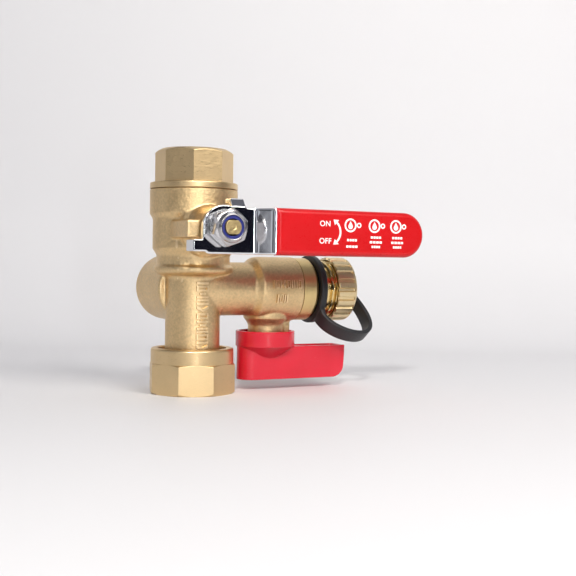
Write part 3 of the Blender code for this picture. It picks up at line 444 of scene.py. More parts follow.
def noise(tree, scale, detail=3.0, rough=0.55, stretch=None):
    """Noise in the object's own metres; scale is in cells to the metre."""
    source = add_node(tree, "ShaderNodeTexCoord").outputs["Object"]
    texture = add_node(tree, "ShaderNodeTexNoise", Scale=scale, Detail=detail, Roughness=rough)
    if stretch is not None:
        mapping = add_node(tree, "ShaderNodeMapping")
        mapping.inputs["Scale"].default_value = stretch
        tree.links.new(source, mapping.inputs["Vector"])
        source = mapping.outputs["Vector"]
    tree.links.new(source, texture.inputs["Vector"])
    return texture.outputs["Fac"]


def tinted(tree, source, dark, light):
    """A colour that follows a noise from dark to light."""
    made = add_node(tree, "ShaderNodeValToRGB")
    for element, position, color in zip(made.color_ramp.elements, NOISE_RANGE, (dark, light)):
        element.position = position
        element.color = (*color, 1.0)
    tree.links.new(source, made.inputs["Fac"])
    return made.outputs["Color"]


def shade(tree, color, source, low, high):
    """Multiplies a colour by a value that follows a noise from low to high."""
    scale = add_node(tree, "ShaderNodeVectorMath", operation="SCALE")
    tree.links.new(color, scale.inputs["Vector"])
    tree.links.new(spread(tree, source, low, high), scale.inputs["Scale"])
    return scale.outputs["Vector"]


def surface(tree, shader, color, roughness, *layers):
    """Links colour and roughness, and stacks bumps. A layer is (source, distance in metres, strength)."""
    tree.links.new(color, shader.inputs["Base Color"])
    tree.links.new(roughness, shader.inputs["Roughness"])
    target = shader
    for source, distance, strength in reversed(layers):
        bump = add_node(tree, "ShaderNodeBump", Distance=distance, Strength=strength)
        tree.links.new(source, bump.inputs["Height"])
        tree.links.new(bump.outputs["Normal"], target.inputs["Normal"])
        target = bump


def cast_brass():
    mat, tree, shader = new_material("cast_brass", (0.76, 0.56, 0.30), 0.42, 1.0)
    fine, coarse, broad = noise(tree, 2000, 2), noise(tree, 950, 3), noise(tree, 60, 3)
    color = tinted(tree, broad, (0.73, 0.53, 0.28), (0.80, 0.595, 0.33))
    grained = shade(tree, color, coarse, 0.86, 1.08)
    # Convex edges are mixed towards a paler, lighter brass: partly rubbed edges, and partly a painted highlight
    # along the edges that catch the light.
    edges = add_node(tree, "ShaderNodeNewGeometry").outputs["Pointiness"]
    rubbed_and_highlit_edges = mixed(tree, map_range(tree, edges, 0.53, 0.62), grained, (0.90, 0.70, 0.42))
    rough = spread(tree, coarse, 0.36, 0.48)
    surface(tree, shader, rubbed_and_highlit_edges, rough, (coarse, 0.00026, 0.55), (fine, 0.00006, 0.5))
    return mat


def machined_brass(name, color, roughness, lines, strength, satin_end=None):
    """Turned or milled brass, with fine tool lines stretched by lines, and satin up to satin_end in X."""
    mat, tree, shader = new_material(name, color, roughness, 1.0)
    streaks, broad = noise(tree, 1.0, 3, 0.6, lines), noise(tree, 90, 3)
    dark = tuple(c * 0.93 for c in color)
    toned = shade(tree, tinted(tree, broad, dark, color), streaks, 0.94, 1.03)
    rough = spread(tree, streaks, roughness * 0.75, roughness * 1.35)
    if satin_end is not None:
        axes = add_node(tree, "ShaderNodeSeparateXYZ")
        tree.links.new(add_node(tree, "ShaderNodeTexCoord").outputs["Object"], axes.inputs["Vector"])
        satin = map_range(tree, axes.outputs["X"], satin_end - 0.2 * MM, satin_end + 0.2 * MM, 0.2, 0.0)
        rough = math_of(tree, "ADD", rough, satin)
    surface(tree, shader, toned, rough, (streaks, 0.00002, strength), (broad, 0.00005, 0.15))
    return mat


def grained(name, metallic, dark, light, broad, fine, roughness, fine_bump, broad_bump=None,
            rough_follows="fine", **inputs):
    """A surface whose tint follows a broad noise, and its roughness the noise that rough_follows names.
    broad and fine are noise() arguments, a bump is (metres, strength), and inputs are more shader values."""
    mat, tree, shader = new_material(name, light, roughness[1], metallic)
    for key, value in inputs.items():
        shader.inputs[key.replace("_", " ")].default_value = value
    noises = {"broad": noise(tree, *broad), "fine": noise(tree, *fine)}
    bumps = [(noises["broad"], *broad_bump)] if broad_bump else []
    surface(tree, shader, tinted(tree, noises["broad"], dark, light),
            spread(tree, noises[rough_follows], *roughness), *bumps, (noises["fine"], *fine_bump))
    return mat


def chrome_plate():
    return grained("chrome_plate", 1.0, (0.77, 0.78, 0.80), (0.83, 0.84, 0.86), (130, 2), (3000, 2),
                   (0.045, 0.10), (0.000004, 0.2), (0.00012, 0.25), "broad")


def matt(name, dark, light, roughness, grain, bump):
    """Rubber, nylon, PTFE and ink: a matt body colour with a fine moulded grain."""
    return grained(name, 0.0, dark, light, (120, 3), (grain, 3), (roughness * 0.85, roughness * 1.15),
                   (bump, 0.5))


def plain_steel(name, dark, light, smooth, rough):
    return grained(name, 1.0, dark, light, (200, 3), (1.0, 3, 0.6, (300, 300, 4000)), (smooth, rough),
                   (0.00001, 0.4))


# A look is (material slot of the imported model, material).
CAST = ("cast_brass", cast_brass())
MILLED = ("cast_brass", machined_brass("milled_brass", (0.78, 0.58, 0.32), 0.36, (700, 700, 5200), 0.35))
TURNED_X = ("bright_brass", machined_brass("turned_brass", (0.80, 0.61, 0.29), 0.18, (6000, 500, 500), 0.3,
                                           RUN.x + 57.0 * MM))
CAP_BRASS = ("bright_brass", machined_brass("cap_brass", (0.85, 0.69, 0.41), 0.36, (4200, 700, 700), 0.25))
STEM_BRASS = ("bright_brass", machined_brass("stem_brass", (0.64, 0.49, 0.24), 0.36, (900, 900, 900), 0.5))
CHROME = ("chrome_plate", chrome_plate())
BALL_CHROME = ("plated_ball", chrome_plate())
VINYL = ("red_vinyl", grained(
    "red_vinyl", 0.0, (0.52, 0.004, 0.006), (0.58, 0.006, 0.010), (55, 2), (1800, 3), (0.26, 0.38),
    (0.00001, 0.3), (0.0006, 0.35), Coat_Weight=0.12, Coat_Roughness=0.12, Specular_IOR_Level=0.35,
    Subsurface_Weight=0.04, Subsurface_Radius=(0.003, 0.0006, 0.0006)))
RED = ("red_plastic", grained(
    "red_plastic", 0.0, (0.55, 0.006, 0.022), (0.63, 0.010, 0.031), (45, 2), (2400, 3), (0.18, 0.28),
    (0.000006, 0.3), (0.0004, 0.25), Coat_Weight=0.2, Coat_Roughness=0.06,
    Subsurface_Weight=0.06, Subsurface_Radius=(0.004, 0.0006, 0.0008)))
RUBBER = ("black_rubber", matt("black_rubber", (0.010, 0.010, 0.012), (0.017, 0.017, 0.020), 0.45, 2200,
                               0.00003))
PTFE = ("ptfe", matt("ptfe", (0.86, 0.86, 0.83), (0.92, 0.92, 0.90), 0.5, 1500, 0.00001))
NYLON = ("blue_nylon", matt("blue_nylon", (0.012, 0.018, 0.15), (0.018, 0.027, 0.20), 0.4, 1800, 0.00001))
STEEL = ("spring_steel", plain_steel("zinc_steel", (0.54, 0.55, 0.57), (0.66, 0.67, 0.69), 0.22, 0.42))
NUT_STEEL = ("chrome_plate", plain_steel("nickel_steel", (0.48, 0.47, 0.48), (0.57, 0.56, 0.57), 0.16, 0.28))
INK = ("red_vinyl", matt("white_ink", (0.88, 0.86, 0.86), (0.94, 0.92, 0.92), 0.6, 3000, 0.000004))


# ------------------------------------------------ cast body

def body_solids():
    """The forging's overlapping solids. Machined ends run a little long, and are faced off afterwards."""
    extra = 0.8
    run = spun("run", dense(filleted([
        (0, BODY_TOP + extra), (COLLAR_R, BODY_TOP + extra), (COLLAR_R, COLLAR_LOW, 0.5),
        (BARREL_R, BARREL_TOP, 0.8), (BARREL_R, BARREL_LOW, 1.2), (NECK_R, NECK_TOP, 1.2),
        (NECK_R, NECK_LOW, 0.5), (RIM_R, RIM_TOP, 0.7), (RIM_R, RIM_LOW, 0.8),
        (RIM_R - 1.2, RIM_LOW - 1.1, 0.8), (TUBE_R + 0.8, TUBE_TOP + 1.0, 1.0),
        (TUBE_R, TUBE_TOP - 0.3, 1.5), (TUBE_R, TUBE_END - extra), (0, TUBE_END - extra),
    ], False), 2, False))
    branch = spun("branch", dense(filleted([
        (0, HOUSING_END + extra), (HOUSING_R, HOUSING_END + extra), (HOUSING_R, HOUSING_START, 0.8),
        (HOUSING_R - 0.4, HOUSING_START - 2.6, 1.1), (BRANCH_R + 0.4, HOUSING_START - 5.0, 0.7),
        (BRANCH_R, HOUSING_START - 5.8, 0.8), (BRANCH_R, 0), (0, 0),
    ], False), 2, False), TEE_C, "+X")
    top = HOUSING_R - 1.0
    drain_boss = spun("drain_boss", filleted([
        (0, DRAIN_BOSS_END + extra), (DRAIN_BOSS_R, DRAIN_BOSS_END + extra), (DRAIN_BOSS_R, top + 2.8, 1),
        (DRAIN_BOSS_R + 0.7, top + 1.3, 1), (DRAIN_BOSS_R + 2.2, top - 0.6), (DRAIN_BOSS_R + 2.2, 0), (0, 0),
    ], False), DRAIN_C, "-Z", 64)
    stem_boss = spun("stem_boss", filleted([
        (0, BOSS_FACE + extra), (8.7, BOSS_FACE + extra), (8.9, 24.0, 2), (9.4, 21.0, 2), (10.6, 18.4, 2),
        (12.4, 16.6), (12.4, 8.0), (0, 8.0),
    ], False), STEM_C, "-Y", 72)
    relief = spun("relief", filleted([
        (0, RELIEF_END + extra), (RELIEF_R, RELIEF_END + extra), (RELIEF_R, RELIEF_START, 0.9),
        (0, RELIEF_START),
    ], False), TEE_C, "+Y")
    ear = block("ear", EAR_LOW, EAR_HIGH, STEM_C, 0.5)
    lug = block("lug", (7.8, -2.0, 21.5), (11.8, 2.0, TEE_Z - 12.0), (DRAIN_X, 0, 0), 0.3)
    return [run, branch, drain_boss, stem_boss, relief, ear, lug]


def threaded(low, high, pitch, depth, inward=True):
    """A shape function for spun(): a thread on the stretch of the given bore or rod."""
    side = -1 if inward else 1

    def shape(radius, angle, height):
        flank = (height > low) & (height < high)
        return radius + np.where(flank, side * helix(angle, height, pitch, low, high, depth), 0.0)
    return shape


def body_cutters():
    pocket, ball_floor = STEM_Z - SEAT_FAR - GAP, STEM_Z - SEAT_NEAR + GAP
    ledge = SPIGOT_LOW - 0.4
    run = spun("run_cut", [
        (0, BODY_TOP + 2), (SPIGOT_R + 0.35, BODY_TOP + 2), (SPIGOT_R + 0.35, ledge), (BALL_CAVITY_R, ledge),
        (BALL_CAVITY_R, ball_floor), (SEAT_OUT_R + 0.35, ball_floor), (SEAT_OUT_R + 0.35, pocket),
        (RUN_BORE_R, pocket), (RUN_BORE_R, TUBE_END + 0.7), (RUN_BORE_R + 0.7, TUBE_END),
        (RUN_BORE_R + 0.7, TUBE_END - 2), (0, TUBE_END - 2),
    ])
    seat_r, seat_end = DRAIN_SEAT_R + GAP, DRAIN_X - DRAIN_FAR - GAP
    branch = spun("branch_cut", [
        (0, HOUSING_END + 2), (11.35, HOUSING_END + 2), (11.35, DRAIN_X + 5.9),
        (DRAIN_BALL_R + 0.6, DRAIN_X + 5.9), (DRAIN_BALL_R + 0.6, DRAIN_X - 5.6), (seat_r, DRAIN_X - 5.6),
        (seat_r, seat_end), (DRAIN_BORE_R, seat_end), (DRAIN_BORE_R, 0), (0, 0),
    ], TEE_C, "+X", 80)
    stem = spun("stem_cut", [
        (0, BOSS_FACE + 2), (PACKING_R + 0.5, BOSS_FACE + 2), (PACKING_R + 0.5, BOSS_FACE),
        (PACKING_R, BOSS_FACE - 0.5), (PACKING_R, 22.2), (STEM_R + 0.45, 22.2), (STEM_R + 0.45, 17.3),
        (6.3, 17.3), (6.3, 12.0), (0, 12.0),
    ], STEM_C, "-Y", 64)
    drain_stem = spun("drain_stem_cut", [
        (0, DRAIN_BOSS_END + 2), (3.55, DRAIN_BOSS_END + 2), (3.55, 12.2), (5.0, 12.2), (5.0, 8.0), (0, 8.0),
    ], DRAIN_C, "-Z", 48)
    relief = spun("relief_cut", dense([
        (0, RELIEF_END + 2), (PORT_BORE_R + 1.0, RELIEF_END + 2), (PORT_BORE_R + 1.0, RELIEF_END),
        (PORT_BORE_R, RELIEF_END - 1.0), (PORT_BORE_R, 16.0), (RUN_BORE_R - 0.4, 13.0),
        (RUN_BORE_R - 0.4, 0), (0, 0),
    ], 0.22, False), TEE_C, "+Y", 120,
        threaded(17.0, RELIEF_END - 0.6, PORT_PITCH, PORT_THREAD))
    groove = spun("groove_cut", [
        (TUBE_R + 2, RING_Z + 1.4), (TUBE_R + 2, RING_Z - 1.4), (RING_GROOVE_R, RING_Z - 1.4),
        (RING_GROOVE_R, RING_Z + 1.4),
    ])
    return [run, branch, stem, drain_stem, relief, groove]


def facing_cutters():
    """Rings that face off the machined ends and leave a small chamfer on each."""
    far = 6

    def facing(name, radius, end, chamfer, centre, along):
        return spun(name, [
            (0, end + far), (radius + far, end + far), (radius + far, end),
            (radius + 0.3, end - chamfer - 0.3), (radius - chamfer, end), (0, end),
        ], centre, along)
    foot = spun("foot_face", [
        (0, TUBE_END), (TUBE_R - 0.4, TUBE_END), (TUBE_R + 1, TUBE_END + 1.4), (TUBE_R + 1, TUBE_END - far),
        (0, TUBE_END - far),
    ])
    return [
        facing("collar_face", COLLAR_R, BODY_TOP, 0.3, (0, 0, 0), "+Z"),
        facing("housing_face", HOUSING_R, HOUSING_END, 0.3, TEE_C, "+X"),
        facing("relief_face", RELIEF_R, RELIEF_END, 0.4, TEE_C, "+Y"),
        block("stem_face", (-9.6, -BOSS_FACE - far, -9.6), (9.6, -BOSS_FACE, 9.6), STEM_C),
        block("drain_face", (-9, -9, -DRAIN_BOSS_END - 4), (7.5, 9, -DRAIN_BOSS_END), DRAIN_C),
        foot,
    ]


def rectangle(x_low, z_low, x_high, z_high):
    return [(x_low, z_low), (x_high, z_low), (x_high, z_high), (x_low, z_high)]


def mark_shape(kind, low, tall, half):
    """A generic mark: a bar, a pair of bars, a ring, a chevron or a dash, over low to low + tall."""
    high, middle = low + tall, low + tall / 2
    stroke, ring = 0.38 * tall, 0.34 * tall
    return {
        "bar": [rectangle(-half, low, half, high)],
        "pair": [rectangle(-half, z, half, z + stroke) for z in (low, high - stroke)],
        "ring": [rectangle(-half, low, half, high),
                 rectangle(-half + ring, low + ring, half - ring, high - ring)],
        "chevron": [[(-half, middle), (0, low), (half, middle), (half, high), (0, middle), (-half, high)]],
        "dash": [rectangle(-half / 2, low, half / 2, high)],
    }[kind]


def cast_marks():
    """Raised foundry marks that say nothing: rows of bars, rings, dashes and chevrons."""
    row, z = [], TUBE_MARKS_START
    for kind, tall in (("chevron", 2.4), ("bar", 0.9), ("ring", 2.6), ("pair", 2.1), ("dash", 0.9),
                       ("bar", 0.9), ("ring", 2.6), ("chevron", 2.4), ("bar", 0.9), ("pair", 2.1),
                       ("dash", 0.9), ("ring", 2.4), ("bar", 1.0)):
        row.append(outline_plate(f"tube_mark_{len(row)}", mark_shape(kind, z, tall, MARK_HALF), 0, TUBE_R + 2,
                                 (-0.4, 0, 0), "-Y"))
        z += tall + 0.65
    tube_marks = merged("tube_marks", row)
    combine(tube_marks, "INTERSECT", mark_shell("tube_shell", TUBE_R, 19, z + 1, (0, 0, 0), "+Z"))
    row = []
    for middle, x, kinds in ((2.6, 31.6, "pair ring bar chevron ring pair bar ring"),
                             (-4.0, 34.9, "bar ring pair")):
        for kind in kinds.split():
            wide = 0.7 if kind == "bar" else 1.75
            turned = [[(x + v, -u) for u, v in loop] for loop in mark_shape(kind, 0, wide, 1.9)]
            row.append(outline_plate(f"housing_mark_{len(row)}", turned, 0, HOUSING_R + 2,
                                     (0, 0, TEE_Z + middle), "-Y"))
            x += wide + 0.5
    housing_marks = merged("housing_marks", row)
    combine(housing_marks, "INTERSECT", mark_shell("housing_shell", HOUSING_R, 33, 48, TEE_C, "+X"))
    return [tube_marks, housing_marks]


def mark_shell(name, radius, low, high, centre, along):
    """The sleeve round a barrel in which its marks stand."""
    outer, inner = radius + MARK_HEIGHT, radius - 1
    return spun(name, [(outer, high), (outer, low), (inner, low), (inner, high)], centre, along)


def make_body():
    body = fuse("body_casting", body_solids(), 0.42, 6)
    combine(body, "DIFFERENCE", *facing_cutters())
    combine(body, "UNION", *cast_marks())
    combine(body, "DIFFERENCE", *body_cutters())
    finish_piece(body, "valve", "valve_body", CAST, 38)


# ------------------------------------------------ end connector and main seats

def flats_above(level, sides, flats, corner, blend):
    """A shape function: the polygon's flats limit the radius above a height."""
    def shape(radius, angle, height):
        flat = polygon_radius(angle, sides, flats, corner)
        return np.where((height > level) & (radius > 0.8 * flats / 2), soft_min(radius, flat, blend), radius)
    return shape


def make_end_connector():
    lower = STEM_Z + SEAT_FAR + GAP
    thread = threaded(93.2, HEIGHT - 0.5, PORT_PITCH, PORT_THREAD)
    octagon = flats_above(FLANGE_TOP + 0.05, 8, PORT_FLATS, math.radians(22.5), 0.35)

    def shape(radius, angle, height):
        outside = radius > 14.0
        return np.where(outside, octagon(radius, angle, height), thread(radius, angle, height))
    path = dense(filleted([
        (13.7, HEIGHT), (14.6, HEIGHT, 0.5), (18.4, HEIGHT - 2.2), (18.4, FLANGE_TOP + 0.05),
        (17.9, FLANGE_TOP), (COLLAR_R, FLANGE_TOP, 0.5), (COLLAR_R, BODY_TOP + GAP, 0.25),
        (SPIGOT_R, BODY_TOP + GAP), (SPIGOT_R, SPIGOT_LOW, 0.2), (SEAT_OUT_R + 0.35, SPIGOT_LOW),
        (SEAT_OUT_R + 0.35, lower), (RUN_BORE_R, lower, 0.3), (RUN_BORE_R, 89.5, 0.5), (PORT_BORE_R, 92.0),
        (PORT_BORE_R, HEIGHT - 1),
    ]), 0.24)
    connector = spun("end_connector", path, steps=192, shape=shape, start=math.radians(22.5))
    finish_piece(connector, "valve", "main_end_connector", MILLED, 32)


def seat_path(ball_r, bore_r, outer_r, near, far):
    relief = 0.3
    inner_start = math.sqrt(ball_r ** 2 - bore_r ** 2) + relief
    mouth_r = math.sqrt(ball_r ** 2 - near ** 2) + relief
    return filleted([(bore_r, far), (outer_r, far, 0.2), (outer_r, near, 0.2), (mouth_r, near, 0.1),
                     (bore_r, inner_start, 0.1)])


def make_seats():
    main = seat_path(BALL_R, RUN_BORE_R, SEAT_OUT_R, SEAT_NEAR, SEAT_FAR)
    drain = seat_path(DRAIN_BALL_R, DRAIN_BORE_R, DRAIN_SEAT_R, DRAIN_NEAR, DRAIN_FAR)
    for name, path, centre, along in (
            ("main_seat_upper", main, STEM_C, "+Z"), ("main_seat_lower", main, STEM_C, "-Z"),
            ("drain_seat_outer", drain, DRAIN_C, "+X"), ("drain_seat_inner", drain, DRAIN_C, "-X")):
        seat = spun(name + "_ring", path, centre, along)
        finish_piece(seat, "valve", name, PTFE, 30)


# ------------------------------------------------ balls, stems and seals

def bored_ball(name, radius, port_r, centre, slot_low, slot_high):
    """A ball with its port along X, and the slot that takes its stem."""
    half = math.sqrt(radius ** 2 - port_r ** 2)
    limit = math.degrees(math.atan2(half, port_r))
    round_part = arc((0, 0), radius, limit - 1, 1 - limit, 44)
    ball = spun(name, filleted([(port_r, half, 0.15)] + round_part + [(port_r, -half, 0.15)]), centre, "+X")
    combine(ball, "DIFFERENCE", block(name + "_slot", slot_low, slot_high, centre))
    return ball


def make_balls():
    main = bored_ball("main_ball_bored", BALL_R, BALL_PORT_R, STEM_C, (-1.9, -15, -9), (1.9, -10.9, 9))
    finish_piece(main, "main_spindle", "main_ball", BALL_CHROME, 30)
    drain = bored_ball("drain_ball_bored", DRAIN_BALL_R, DRAIN_PORT_R, DRAIN_C,
                       (-1.4, -6.5, -10), (1.4, 6.5, -7.3))
    finish_piece(drain, "drain_spindle", "drain_ball", BALL_CHROME, 30)


def two_flats(level, half_width, towards, blend=0.1):
    """A shape function: two flats on the rod beyond a height, facing the angle towards."""
    def shape(radius, angle, height):
        flat = half_width / np.maximum(np.abs(np.cos(angle - towards)), 0.2)
        return np.where(height > level, soft_min(radius, flat, blend), radius)
    return shape


def make_main_stem():
    flats = two_flats(31.8, STEM_FLAT - 0.25, math.pi / 2)
    thread = threaded(36.0, STEM_END - 0.4, STEM_PITCH, STEM_THREAD, False)

    def shape(radius, angle, height):
        return flats(np.where(radius > 3.0, thread(radius, angle, height), radius), angle, height)
    core = STEM_R - STEM_THREAD
    path = dense(filleted([
        (0, STEM_END - 0.15), (0.9, STEM_END - 0.15, 0.3), (1.2, STEM_END, 0.2), (core, STEM_END, 0.15),
        (core + 0.1, STEM_END - 0.5), (core, 35.6), (STEM_R, 35.0), (STEM_R, 16.2), (5.8, 16.2, 0.2),
        (5.8, 14.5, 0.2), (0, 14.5),
    ], False), 0.16, False)
    stem = spun("spindle_stem", path, STEM_C, "-Y", 96, shape)
    tang = block("stem_tang", (-1.55, -14.9, -4.5), (1.55, -11.3, 4.5), STEM_C, 0.2)
    combine(stem, "UNION", tang)
    finish_piece(stem, "main_spindle", "main_stem", STEM_BRASS, 40)


def ring_path(inner, outer, low, high, edge):
    return filleted([(inner, high, edge), (outer, high, edge), (outer, low, edge), (inner, low, edge)])


def make_stem_seals():
    edge = 0.15
    washer = spun("stem_thrust_ring", ring_path(4.2, 5.8, 16.5, 17.0, edge), STEM_C, "-Y")
    finish_piece(washer, "main_spindle", "stem_thrust_washer", PTFE, 30)
    packing = spun("stem_packing_ring", filleted([
        (4.2, 25.2, edge), (PACKING_R - GAP, 25.2, edge), (PACKING_R - GAP, 23.9),
        (PACKING_R - GAP - 0.2, 23.8), (PACKING_R - GAP, 23.7),
        (PACKING_R - GAP, 22.5, edge), (4.2, 22.5, edge)]), STEM_C, "-Y")
    finish_piece(packing, "valve", "stem_packing", PTFE, 30)

    low, high = BOSS_FACE + GAP, 31.5
    hexagon = flats_above(low - 0.01, 6, 12.5, 0.0, 0.15)
    gland = spun("gland_nut", dense(filleted([
        (STEM_R + 0.35, high, 0.2), (6.2, high, 0.2), (7.3, high - 0.7), (7.3, low), (PACKING_R - GAP, low),
        (PACKING_R - GAP, 25.5, 0.3), (STEM_R + 0.35, 25.5),
    ]), 0.2), STEM_C, "-Y", 96, hexagon)
    finish_piece(gland, "valve", "packing_gland", STEM_BRASS, 32)


# ------------------------------------------------ main lever

def bend_offset(x):
    """How far the lever's strip has stepped outwards at x, and its slope there, with rounded bends."""
    soft = 1.25
    steep = BEND_STEP / (BEND_END - BEND_START)
    offset = slope = 0.0
    for corner, sign in ((BEND_START, 1), (BEND_END, -1)):
        u = x - corner
        if u > soft:
            offset += sign * steep * u
            slope += sign * steep
        elif u > -soft:
            offset += sign * steep * (u + soft) ** 2 / (4 * soft)
            slope += sign * steep * (u + soft) / (2 * soft)
    return offset, slope


def bend_mesh(obj):
    """Bends a flat strip whose front face lies at y = -PLATE_FACE to the lever's side view."""
    for vert in obj.data.vertices:
        x = (vert.co.x - RUN.x) / MM
        depth = (vert.co.y - RUN.y) / MM + PLATE_FACE
        offset, slope = bend_offset(x)
        length = math.hypot(1, slope)
        vert.co.x = RUN.x + (x + depth * slope / length) * MM
        vert.co.y = RUN.y + (depth / length - PLATE_FACE - offset) * MM
    obj.data.update()


def slice_mesh(obj, positions):
    """Cuts edges across a mesh at planes of constant x, so that it can bend there."""
    with edited(obj.data) as bm:
        for x in positions:
            bmesh.ops.bisect_plane(bm, geom=bm.verts[:] + bm.edges[:] + bm.faces[:], dist=WELD * MM,
                                   plane_co=(x * MM + RUN.x, 0, 0), plane_no=(1, 0, 0))


def lever_outline():
    tip = (GRIP_TIP - GRIP_R, GRIP_MID)
    hub_top = 64            # degrees round the hub, where the lever's upper edge meets it
    outline = filleted([
        (TAB_LEFT, TAB_TOP), (TAB_LEFT, TAB_LOW), (-8.6, TAB_LOW, 0.8), (-7.4, LEVER_LOW, 1.2),
        (20.6, LEVER_LOW, 1.0), (22.2, GRIP_MID - GRIP_PLATE_R), (tip[0], GRIP_MID - GRIP_PLATE_R),
    ], False)
    outline += arc(tip, GRIP_PLATE_R, -90, 90, 20)[1:]
    outline += filleted([(22.2, GRIP_MID + GRIP_PLATE_R), (20.6, LEVER_HIGH, 1.0),
                         (HUB_R * math.cos(math.radians(hub_top)), LEVER_HIGH)], False)
    outline += arc((0, 0), HUB_R, hub_top, 178, 30)[1:]
    outline += filleted([(-HUB_R, -0.3), (-HUB_R, TAB_TOP, 0.8), (TAB_LEFT, TAB_TOP)], False)[:-1]
    return outline


def make_lever_plate():
    """The bent strip with a square stop tab at its low corner and a sloping one on its upper edge."""
    lever = outline_plate("lever_strip", [lever_outline()], PLATE_FACE - PLATE_T, PLATE_FACE, STEM_C, "-Y")
    first, last = BEND_START - 1.4, BEND_END + 1.4
    slice_mesh(lever, [first + (last - first) * i / 22 for i in range(23)])
    bend_mesh(lever)
    low_tab = block("low_tab", (TAB_LEFT, -PLATE_FACE, TAB_LOW),
                    (TAB_LEFT + PLATE_T, TAB_DEPTH - PLATE_FACE, TAB_TOP), STEM_C)
    slope = [(0, 7.8), (0, 9.0), (0.6, 9.9), (2.4, 12.3), (3.2, 12.6), (TAB_DEPTH, 12.6),
             (TAB_DEPTH, 10.4), (3.9, 10.4), (2.8, 7.6)]
    outline = [(-high, behind - PLATE_FACE) for behind, high in slope]
    top_tab = outline_plate("top_tab", [outline], 3.5, 9.6, STEM_C, "+X")
    lever = fuse("lever_blade", [lever, low_tab, top_tab], 0.3, 10)
    hole = spun("lever_hole", [(0, 40), (STEM_R + GAP, 40), (STEM_R + GAP, 28), (0, 28)],
                STEM_C, "-Y", 64, two_flats(0, STEM_FLAT + GAP, math.pi / 2))
    combine(lever, "DIFFERENCE", hole)
    finish_piece(lever, "main_spindle", "lever_plate", CHROME, 50)


def grip_outline(start, radius):
    tip = (GRIP_TIP - GRIP_R, GRIP_MID)
    return [(start, GRIP_MID - radius)] + arc(tip, radius, -90, 90, 40) + [(start, GRIP_MID + radius)]


def make_lever_sleeve():
    face = PLATE_FACE + BEND_STEP
    sleeve = outline_plate("lever_sleeve_vinyl", [dense(grip_outline(GRIP_START, GRIP_R), 3)],
                           face - PLATE_T - GAP - VINYL_T, GRIP_FACE, STEM_C, "-Y", 2.2, 8)
    pocket = outline_plate("sleeve_pocket", [grip_outline(GRIP_START - 6, GRIP_PLATE_R + 0.1)],
                           face - PLATE_T - 0.1, face + 0.1, STEM_C, "-Y", 0.6)
    combine(sleeve, "DIFFERENCE", pocket)
    finish_piece(sleeve, "main_spindle", "lever_sleeve", VINYL, 50)


def print_mark(name, x, z, outlines):
    """A thin white mark on the sleeve's face, with its outlines about x and z."""
    mark = outline_plate(name, outlines, GRIP_FACE - INK_T, GRIP_FACE + INK_T, (x, 0, z), "-Y", smooth=False)
    finish_piece(mark, "main_spindle", None, INK)


def print_word(name, x, z, word, size):
    """A thin white word on the sleeve's face, centred on x and z."""
    curve = bpy.data.curves.new(name, "FONT")
    curve.body = word
    curve.size = size
    curve.align_x = "CENTER"
    curve.align_y = "CENTER"
    curve.extrude = INK_T
    curve.offset = size * 0.012
    curve.space_character = 1.05
    mesh = curve_mesh(name, curve)
    place(mesh, (x, -GRIP_FACE, z), "-Y")
    finish_piece(link(name, mesh), "main_spindle", None, INK)


def make_print():
    """ON and OFF with a curved double arrow, then three plain badges with bars under them."""
    print_word("print_on", 43.3, STEM_Z + 2.7, "ON", 3.3)
    print_word("print_off", 43.4, STEM_Z - 4.7, "OFF", 3.3)
    middle, z = (45.2, 0.0), STEM_Z - 0.7
    reach, half, sweep = 5.6, 0.42, 47
    band = arc(middle, reach + half, -sweep, sweep, 24) + arc(middle, reach - half, sweep, -sweep, 24)
    print_mark("print_arrow", 0, z, [band])
    for i, side in enumerate((-1, 1)):
        a = math.radians(side * sweep)
        base = Vector((middle[0] + reach * math.cos(a), reach * math.sin(a)))
        along = Vector((-math.sin(a), math.cos(a))) * side
        across = Vector((math.cos(a), math.sin(a))) * side
        head = [base + across * 1.5, base + along * 2.1 - across * side * 0.25, base - across * 1.5]
        print_mark(f"print_arrow_head_{i}", 0, z, [head])
    for i, x in enumerate((56.6, 68.8, 79.9)):
        badge(i, x, STEM_Z + 2.4)


def badge(index, x, z):
    """A ring with a drop in it, a small ring beside it, and rows of four bars below."""
    ring = [arc((0, 0), radius, 0, 350, 35) for radius in (3.0, 2.25)]
    drop = arc((0, -0.5), 1.15, 150, 390, 18) + [(0, 1.85)]
    small = [arc((4.3, 0.1), radius, 0, 345, 23) for radius in (1.15, 0.6)]
    for name, outlines in (("ring", ring), ("drop", [drop]), ("dot", small)):
        print_mark(f"print_badge_{name}_{index}", x - 0.8, z, outlines)
    rows = ((0.0, 5.6), (-2.1, 6.6), (-4.1, 4.6)) if index else ((-1.4, 5.2), (-4.2, 6.0))
    bars = [rectangle((k - 1.89) * wide / 4, down - 5.5, (k - 1.11) * wide / 4, down - 4.5)
            for down, wide in rows for k in range(4)]
    print_mark(f"print_badge_rows_{index}", x, z, bars)


def make_lever_nut():
    low, high = PLATE_FACE + GAP, NUT_CROWN
    corner = math.radians(21)

    def shape(radius, angle, height):
        flat = polygon_radius(angle, 6, NUT_FLATS, corner)
        return np.where((height < high - 1.4) & (radius > 6.8), soft_min(radius, flat, 0.25), radius)
    path = dense(filleted([
        (4.95, high - 0.1, 0.1), (5.5, high, 0.35), (6.2, high - 0.9, 0.6), (6.45, high - 1.6, 0.2),
        (7.2, high - 1.9, 0.2), (8.35, high - 2.9, 0.3), (8.35, low + 1.5, 0.3), (6.9, low + 0.8),
        (6.9, low), (STEM_R + GAP, low, 0.2), (STEM_R + GAP, high - 2.9), (5.3, high - 2.9),
        (5.3, high - 0.8), (4.95, high - 0.7),
    ]), 0.18)
    nut = spun("lock_nut", path, STEM_C, "-Y", 144, shape, corner)
    finish_piece(nut, "main_spindle", "lever_nut", NUT_STEEL, 34)
    ring = ring_path(3.5, 5.25, high - 2.65, high - 0.75, 0.3)
    insert = spun("lock_nut_insert", ring, STEM_C, "-Y")
    finish_piece(insert, "main_spindle", "lever_nut_insert", NYLON, 30)


